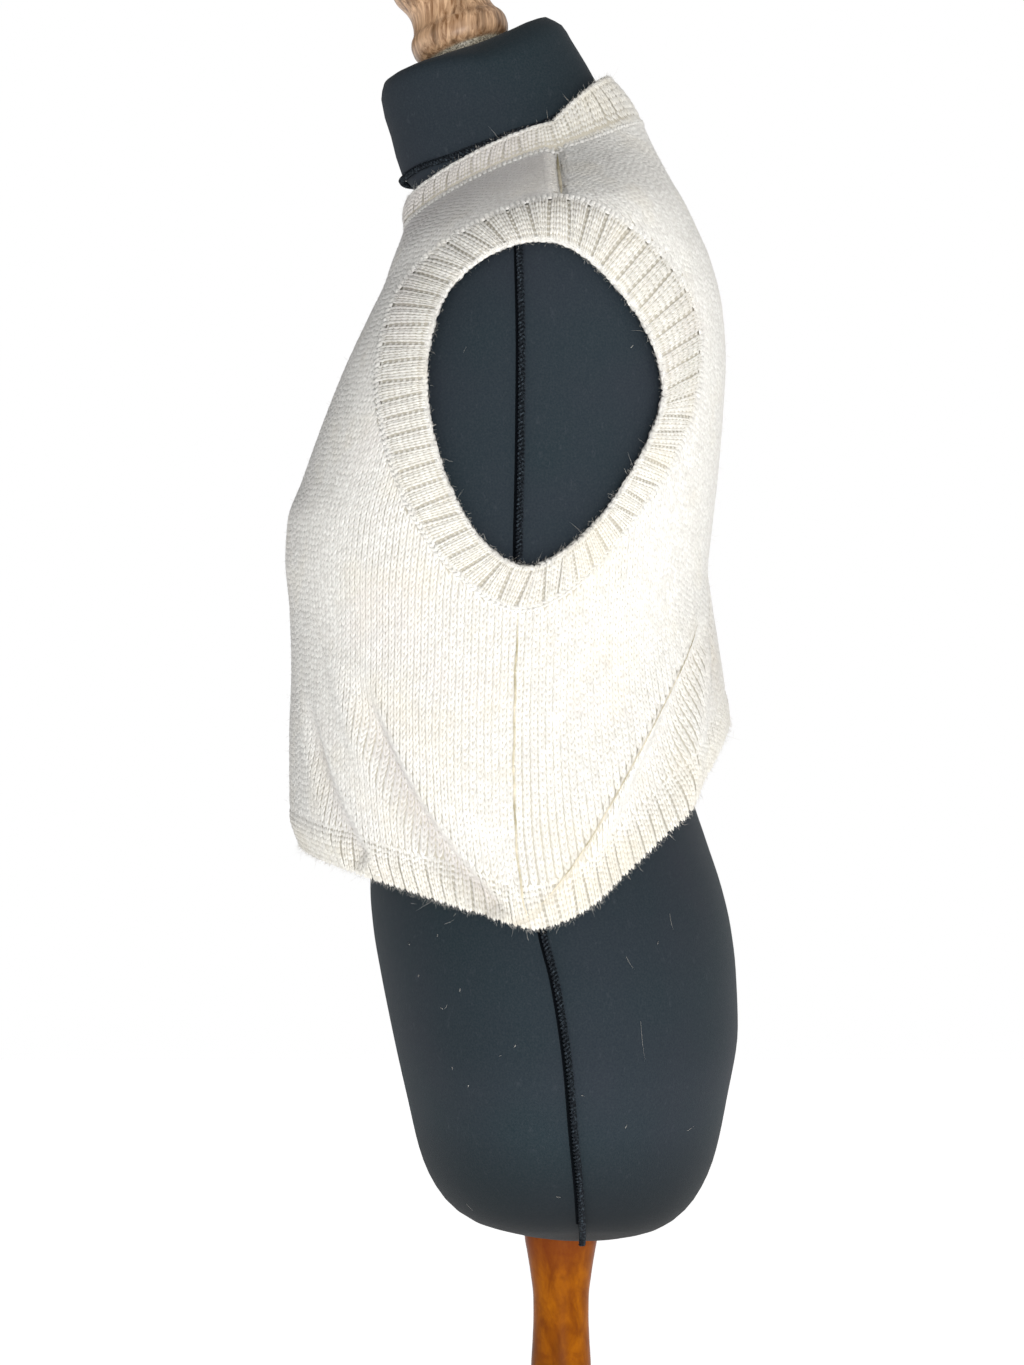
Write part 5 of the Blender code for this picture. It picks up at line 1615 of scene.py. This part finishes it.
piping = {
    "strandRadius": 0.00125, "strandOffset": 0.00085, "turnsPerMetre": 220, "step": 0.0007, "seat": 0.0019,
}
seamShadowStrand = {
    "strandRadius": 0.0008, "strandOffset": 0.0002, "turnsPerMetre": 0.0, "step": 0.004, "seat": 0.0004,
    "aside": 0.0024,
}
sidePiping = [
    # y, z down the form's side seam
    (-0.0250, 1.318), (-0.0240, 1.260), (-0.0245, 1.200), (-0.0256, 1.140), (-0.0235, 1.080),
    (-0.0190, 1.010), (-0.0125, 0.944), (-0.0057, 0.9165), (0.0011, 0.8724), (0.0046, 0.8323),
    (0.0081, 0.7968), (0.0095, 0.7780),
]
sidePipingTail = [(0.0915, 0.0102, 0.7598), (0.0965, 0.0104, 0.7650), (0.1065, 0.0102, 0.7710)]
neckPiping = [
    # degrees from the centre front, level; inside the neckband from the side on
    (0, 1.4050), (30, 1.4035), (55, 1.3995), (75, 1.3980), (90, 1.3985), (130, 1.4010), (180, 1.4030),
]


def lineObject(points, closed=False):
    mesh = bpy.data.meshes.new("line")
    edges = [(k, k + 1) for k in range(len(points) - 1)]
    if closed:
        edges.append((len(points) - 1, 0))
    mesh.from_pydata(np.asarray(points, float).tolist(), edges, [])
    made = bpy.data.objects.new("line", mesh)
    scene.collection.objects.link(made)
    return made


def twisted(name, points, strand=piping, finish=cordFinish, closed=False):
    return grow(lineObject(points, closed), twistedCord, {
        "Strand Radius": strand["strandRadius"], "Strand Offset": strand["strandOffset"],
        "Turns Per Metre": strand["turnsPerMetre"], "Step": strand["step"], "Finish": finish}, name)


def sidePipingPath(side, seat, aside=0.0):
    ys, zs = np.array(sidePiping[::-1]).T
    wanted = smoothCurve(zs, ys)
    level = np.linspace(zs[0], zs[-1], 120)
    near = np.radians(np.linspace(60, 120, 121))
    angle = np.array([np.interp(wanted(at) + aside, formPoint(near, at)[:, 1], near) for at in level])
    points = formPoint(angle, level) + formNormal(angle, level) * seat
    return points * [side, 1, 1]


for label, side in (("left", 1), ("right", -1)):
    path = sidePipingPath(side, piping["seat"])
    tail = [(tailX * side, y, z) for tailX, y, z in sidePipingTail]
    cord = twisted("sidePiping_" + label, np.concatenate([tail, path]))
    finishPiece(cord, "dark_piping", "side_piping_" + label)
    # the sunk seam in front of the cord, a near-black strand that is also painted shadow along it
    path = sidePipingPath(side, seamShadowStrand["seat"], -seamShadowStrand["aside"])
    finishPiece(twisted("pipingSeam_" + label, path, seamShadowStrand, seamAndShadowFinish), "dark_piping")
angle = np.linspace(0, wholeTurn, 121)[:-1]
turns, levels = np.array(neckPiping).T
level = smoothCurve(np.radians(turns), levels)(np.minimum(angle, wholeTurn - angle))
ringPath = formPoint(angle, level) + formNormal(angle, level) * piping["seat"]
finishPiece(twisted("neckPiping", ringPath, closed=True), "dark_piping", "neck_piping")
print("piping twisted")


# lint and stray hairs on the form

lint = {
    "seed": 9,
    # count a side, shortest, longest, thinnest, widest, lift
    "kinds": [(16, 0.0004, 0.0008, 0.006, 0.011, 0.6), (3, 0.003, 0.006, 0.0015, 0.002, 0.15)],
    # levels where the jersey shows, and how much of the lint lies on each
    "zones": [(0.775, 0.940), (1.150, 1.290), (1.405, 1.436)], "zoneShares": (0.62, 0.28, 0.10),
}
strayHairs = [
    # degrees from the centre front, level, heading from straight up, length
    (114, 0.8940, 178, 0.026), (111, 0.9290, 150, 0.010), (52, 0.9560, 250, 0.011), (44, 0.9545, 100, 0.010),
    (57, 0.9450, 80, 0.008), (128, 0.9500, 190, 0.010), (134, 0.8300, 70, 0.007),
]


def formSpots(turns, levels, headings, lengths, thick, lift):
    # headings are in degrees from straight up, across the surface
    points, normal = formPoint(turns, levels), formNormal(turns, levels)
    up = unit(formPoint(turns, levels + 0.002) - formPoint(turns, levels - 0.002))
    aside = np.cross(up, normal)
    turned = np.radians(headings)[:, None]
    heading = unit(up * np.cos(turned) + aside * np.sin(turned) + normal * lift)
    size = np.stack([thick, thick, lengths], -1)
    across = unit(np.cross(heading, normal))
    return points + normal * 0.0002, across, heading, size, np.zeros((len(points), 3))


def lintSpots():
    own = np.random.default_rng(lint["seed"])
    zones = np.array(lint["zones"])
    found = []
    for count, shortest, longest, thin, wide, lift in lint["kinds"]:
        for side in (-1, 1):
            which = zones[own.choice(len(zones), count, p=lint["zoneShares"])]
            levels = own.uniform(which[:, 0], which[:, 1])
            turns = side * np.radians(own.uniform(38, 142, count))
            headings = own.uniform(0, 360, count)
            lengths, thick = own.uniform(shortest, longest, count), own.uniform(thin, wide, count)
            found.append(formSpots(turns, levels, headings, lengths, thick, lift))
    turns, levels, headings, lengths = np.array(strayHairs).T
    thick = np.full(len(turns), 0.0021)
    for side in (-1, 1):
        found.append(formSpots(side * np.radians(turns), levels, side * headings, lengths, thick, 0.10))
    return joinSpots(*found)


finishPiece(placeForms("lint", hairForm, lintSpots(), fuzzFinish, 0.2, 0.05, 0.4, 51), "dark_jersey")


# turned wood

finialProfile = [
    # radius, height
    (0.0245, 0.0003), (0.0250, 0.0045), (0.0272, 0.0062), (0.0289, 0.0085), (0.0299, 0.0120),
    (0.0300, 0.0155), (0.0288, 0.0195), (0.0262, 0.0230), (0.0247, 0.0275), (0.0243, 0.0320),
    (0.0252, 0.0370), (0.0272, 0.0415), (0.0292, 0.0460), (0.0298, 0.0505), (0.0288, 0.0555),
    (0.0255, 0.0600), (0.0200, 0.0635), (0.0110, 0.0657),
]
postProfile = [
    (0.0235, 0.0343), (0.0240, 0.0400), (0.0225, 0.0470), (0.0190, 0.0560), (0.0180, 0.0800),
    (0.0188, 0.2500), (0.0194, 0.4500), (0.0192, 0.6000), (0.0180, 0.6680), (0.0171, 0.6840),
    (0.0166, 0.6980), (0.0167, 0.7090), (0.0184, 0.7240), (0.0203, 0.7360), (0.0218, 0.7450),
    (0.0222, 0.7540),
]
baseProfile = [
    (0.1870, 0.0000), (0.1900, 0.0040), (0.1900, 0.0170), (0.1880, 0.0215), (0.1840, 0.0240),
    (0.0700, 0.0300), (0.0420, 0.0325), (0.0330, 0.0340),
]


def turnedWood(name, profile, columns, perStep, finish, place=None):
    radius, height = np.array(profile).T
    run = np.concatenate([[0], np.cumsum(np.hypot(np.diff(radius), np.diff(height)))])
    dense = np.interp(np.arange(len(run) * perStep - perStep + 1) / perStep, np.arange(len(run)), run)
    radius, height = smoothCurve(run, radius)(dense), smoothCurve(run, height)(dense)
    angle = np.linspace(0, wholeTurn, columns + 1)[:-1]
    rings = np.stack([radius[:, None] * np.cos(angle), radius[:, None] * np.sin(angle),
                      np.broadcast_to(height[:, None], (len(radius), columns))], -1)
    points = np.concatenate([rings.reshape(-1, 3), [[0, 0, height[0]], [0, 0, height[-1]]]])
    if place is not None:
        points = place(points)
    made = meshObject(name, points, ringFaces(len(radius), columns), [finish])
    made.data.set_sharp_from_angle(angle=math.radians(50))
    return made


def onNeck(points):
    tilt = math.atan(neckSeat["slope"])
    turned = np.stack([points[:, 0], points[:, 1] * math.cos(tilt) - points[:, 2] * math.sin(tilt),
                       points[:, 1] * math.sin(tilt) + points[:, 2] * math.cos(tilt)], -1)
    return turned + [0, neckSeat["y"], neckSeat["z"]]


capFinish = capWood(math.atan(neckSeat["slope"]))
stainFinish = stainedWood()
finishPiece(turnedWood("neckCap", finialProfile, 72, 4, capFinish, onNeck), "neck_cap_wood", "finial")
finishPiece(turnedWood("standPost", postProfile, 64, 5, stainFinish), "stained_wood", "post")
finishPiece(turnedWood("standBase", baseProfile, 128, 4, stainFinish), "stained_wood", "base")
print("wood turned")


# the pieces of each sheet of cloth gathered, the small forms' templates removed and triangles counted

for face in ("front", "back"):
    parts = [pieces[face + part] for part in ("Stitches", "HemRib", "HemGroove", "Fuzz")]
    if face == "front":
        parts += [pieces[part + label] for part in ("seamLadder_", "seamLine_")
                  for label in ("left", "right")]
for label in ("left", "right"):
    parts = [pieces["armhole" + part + "_" + label] for part in ("Rib", "Groove", "Seam", "CastOff", "Fuzz")]
parts = [pieces["neck" + part] for part in ("Rib", "Groove", "Seam", "CastOff", "Fuzz")]
for template in (knitForm, ribForm, chainForm, purlForm, hairForm):
    bpy.data.objects.remove(template, do_unlink=True)
counts = {name: sum(len(p.vertices) - 2 for p in piece.data.polygons) for name, piece in pieces.items()}
print("triangles:", sum(counts.values()), "most in one piece:", max(counts.values()))


# floor, light and camera

studio = {
    "floorHalf": 6.0, "floorGlow": 0.80, "backdrop": (1.0, 1.0, 1.0),
    "frontLow": (1.64, 1.65, 1.66), "backLow": (1.03, 1.02, 1.00),
    "frontHigh": (0.03, 0.03, 0.04), "backHigh": (0.80, 0.79, 0.77),
    # where the light goes over from low to high, from front to back, and into the backdrop
    "heights": (-0.08, 0.16), "depths": (-0.10, 0.75), "behind": (-0.84, -0.93),
    "key": (2.4, 0.25, 0.92), "keyTarget": (0, 0, 1.1), "keyPower": 36.0, "keySize": 0.9,
}


def makeFloor():
    half = studio["floorHalf"]
    floor = meshObject("floor", [(-half, -half, 0), (half, -half, 0), (half, half, 0), (-half, half, 0)],
                       [[0, 1, 2, 3]], smooth=False)
    material, tree, shader = newFinish("paleFloor", 0.8, **{
        "Emission Color": (1, 1, 1, 1), "Emission Strength": studio["floorGlow"]})
    grain = noise(tree, objectPlace(tree), 3, 3)
    tree.links.new(mixed(tree, ramp(tree, grain, 0.3, 0.8), (0.84, 0.84, 0.83), (0.88, 0.88, 0.87)),
                   shader.inputs["Base Color"])
    floor.data.materials.append(material)


def makeWorld():
    # the camera sees a white backdrop; what lights the object is brighter at the back, and dim at
    # the front's top
    world = bpy.data.worlds.new("studio")
    scene.world = world
    world.use_nodes = True
    tree = world.node_tree
    where = addNode(tree, "ShaderNodeTexCoord")
    parts = addNode(tree, "ShaderNodeSeparateXYZ", {"Vector": where.outputs["Generated"]})
    height = ramp(tree, parts.outputs["Z"], *studio["heights"])
    back = ramp(tree, parts.outputs["Y"], *studio["depths"])
    low = mixed(tree, back, studio["frontLow"], studio["backLow"])
    high = mixed(tree, back, studio["frontHigh"], studio["backHigh"])
    colour = mixed(tree, height, low, high)
    behind = ramp(tree, parts.outputs["X"], *studio["behind"])
    colour = mixed(tree, behind, colour, studio["backdrop"])
    seen = addNode(tree, "ShaderNodeLightPath").outputs["Is Camera Ray"]
    colour = mixed(tree, seen, colour, studio["backdrop"])
    tree.links.new(colour, tree.nodes["Background"].inputs["Color"])


def makeKey():
    light = bpy.data.lights.new("key", "AREA")
    light.energy, light.size = studio["keyPower"], studio["keySize"]
    holder = bpy.data.objects.new("key", light)
    scene.collection.objects.link(holder)
    holder.location = studio["key"]
    away = Vector(studio["keyTarget"]) - Vector(studio["key"])
    holder.rotation_euler = away.to_track_quat("-Z", "Y").to_euler()


view = {
    "distance": 1.6, "y": -0.0294, "z": 1.0777, "metresPerPixel": 0.0006, "imageHeight": 1365,
    "sensor": 36,  # millimetres, along the picture's longer side
}


def makeCamera():
    camera = bpy.data.cameras.new("camera")
    holder = bpy.data.objects.new("camera", camera)
    scene.collection.objects.link(holder)
    camera.lens = view["sensor"] * view["distance"] / (view["metresPerPixel"] * view["imageHeight"])
    camera.clip_start = 0.02
    holder.location = (view["distance"], view["y"], view["z"])
    holder.rotation_euler = (quarterTurn, 0, quarterTurn)
    scene.camera = holder


makeFloor()
makeWorld()
makeKey()
makeCamera()
scene.view_settings.view_transform = "Standard"
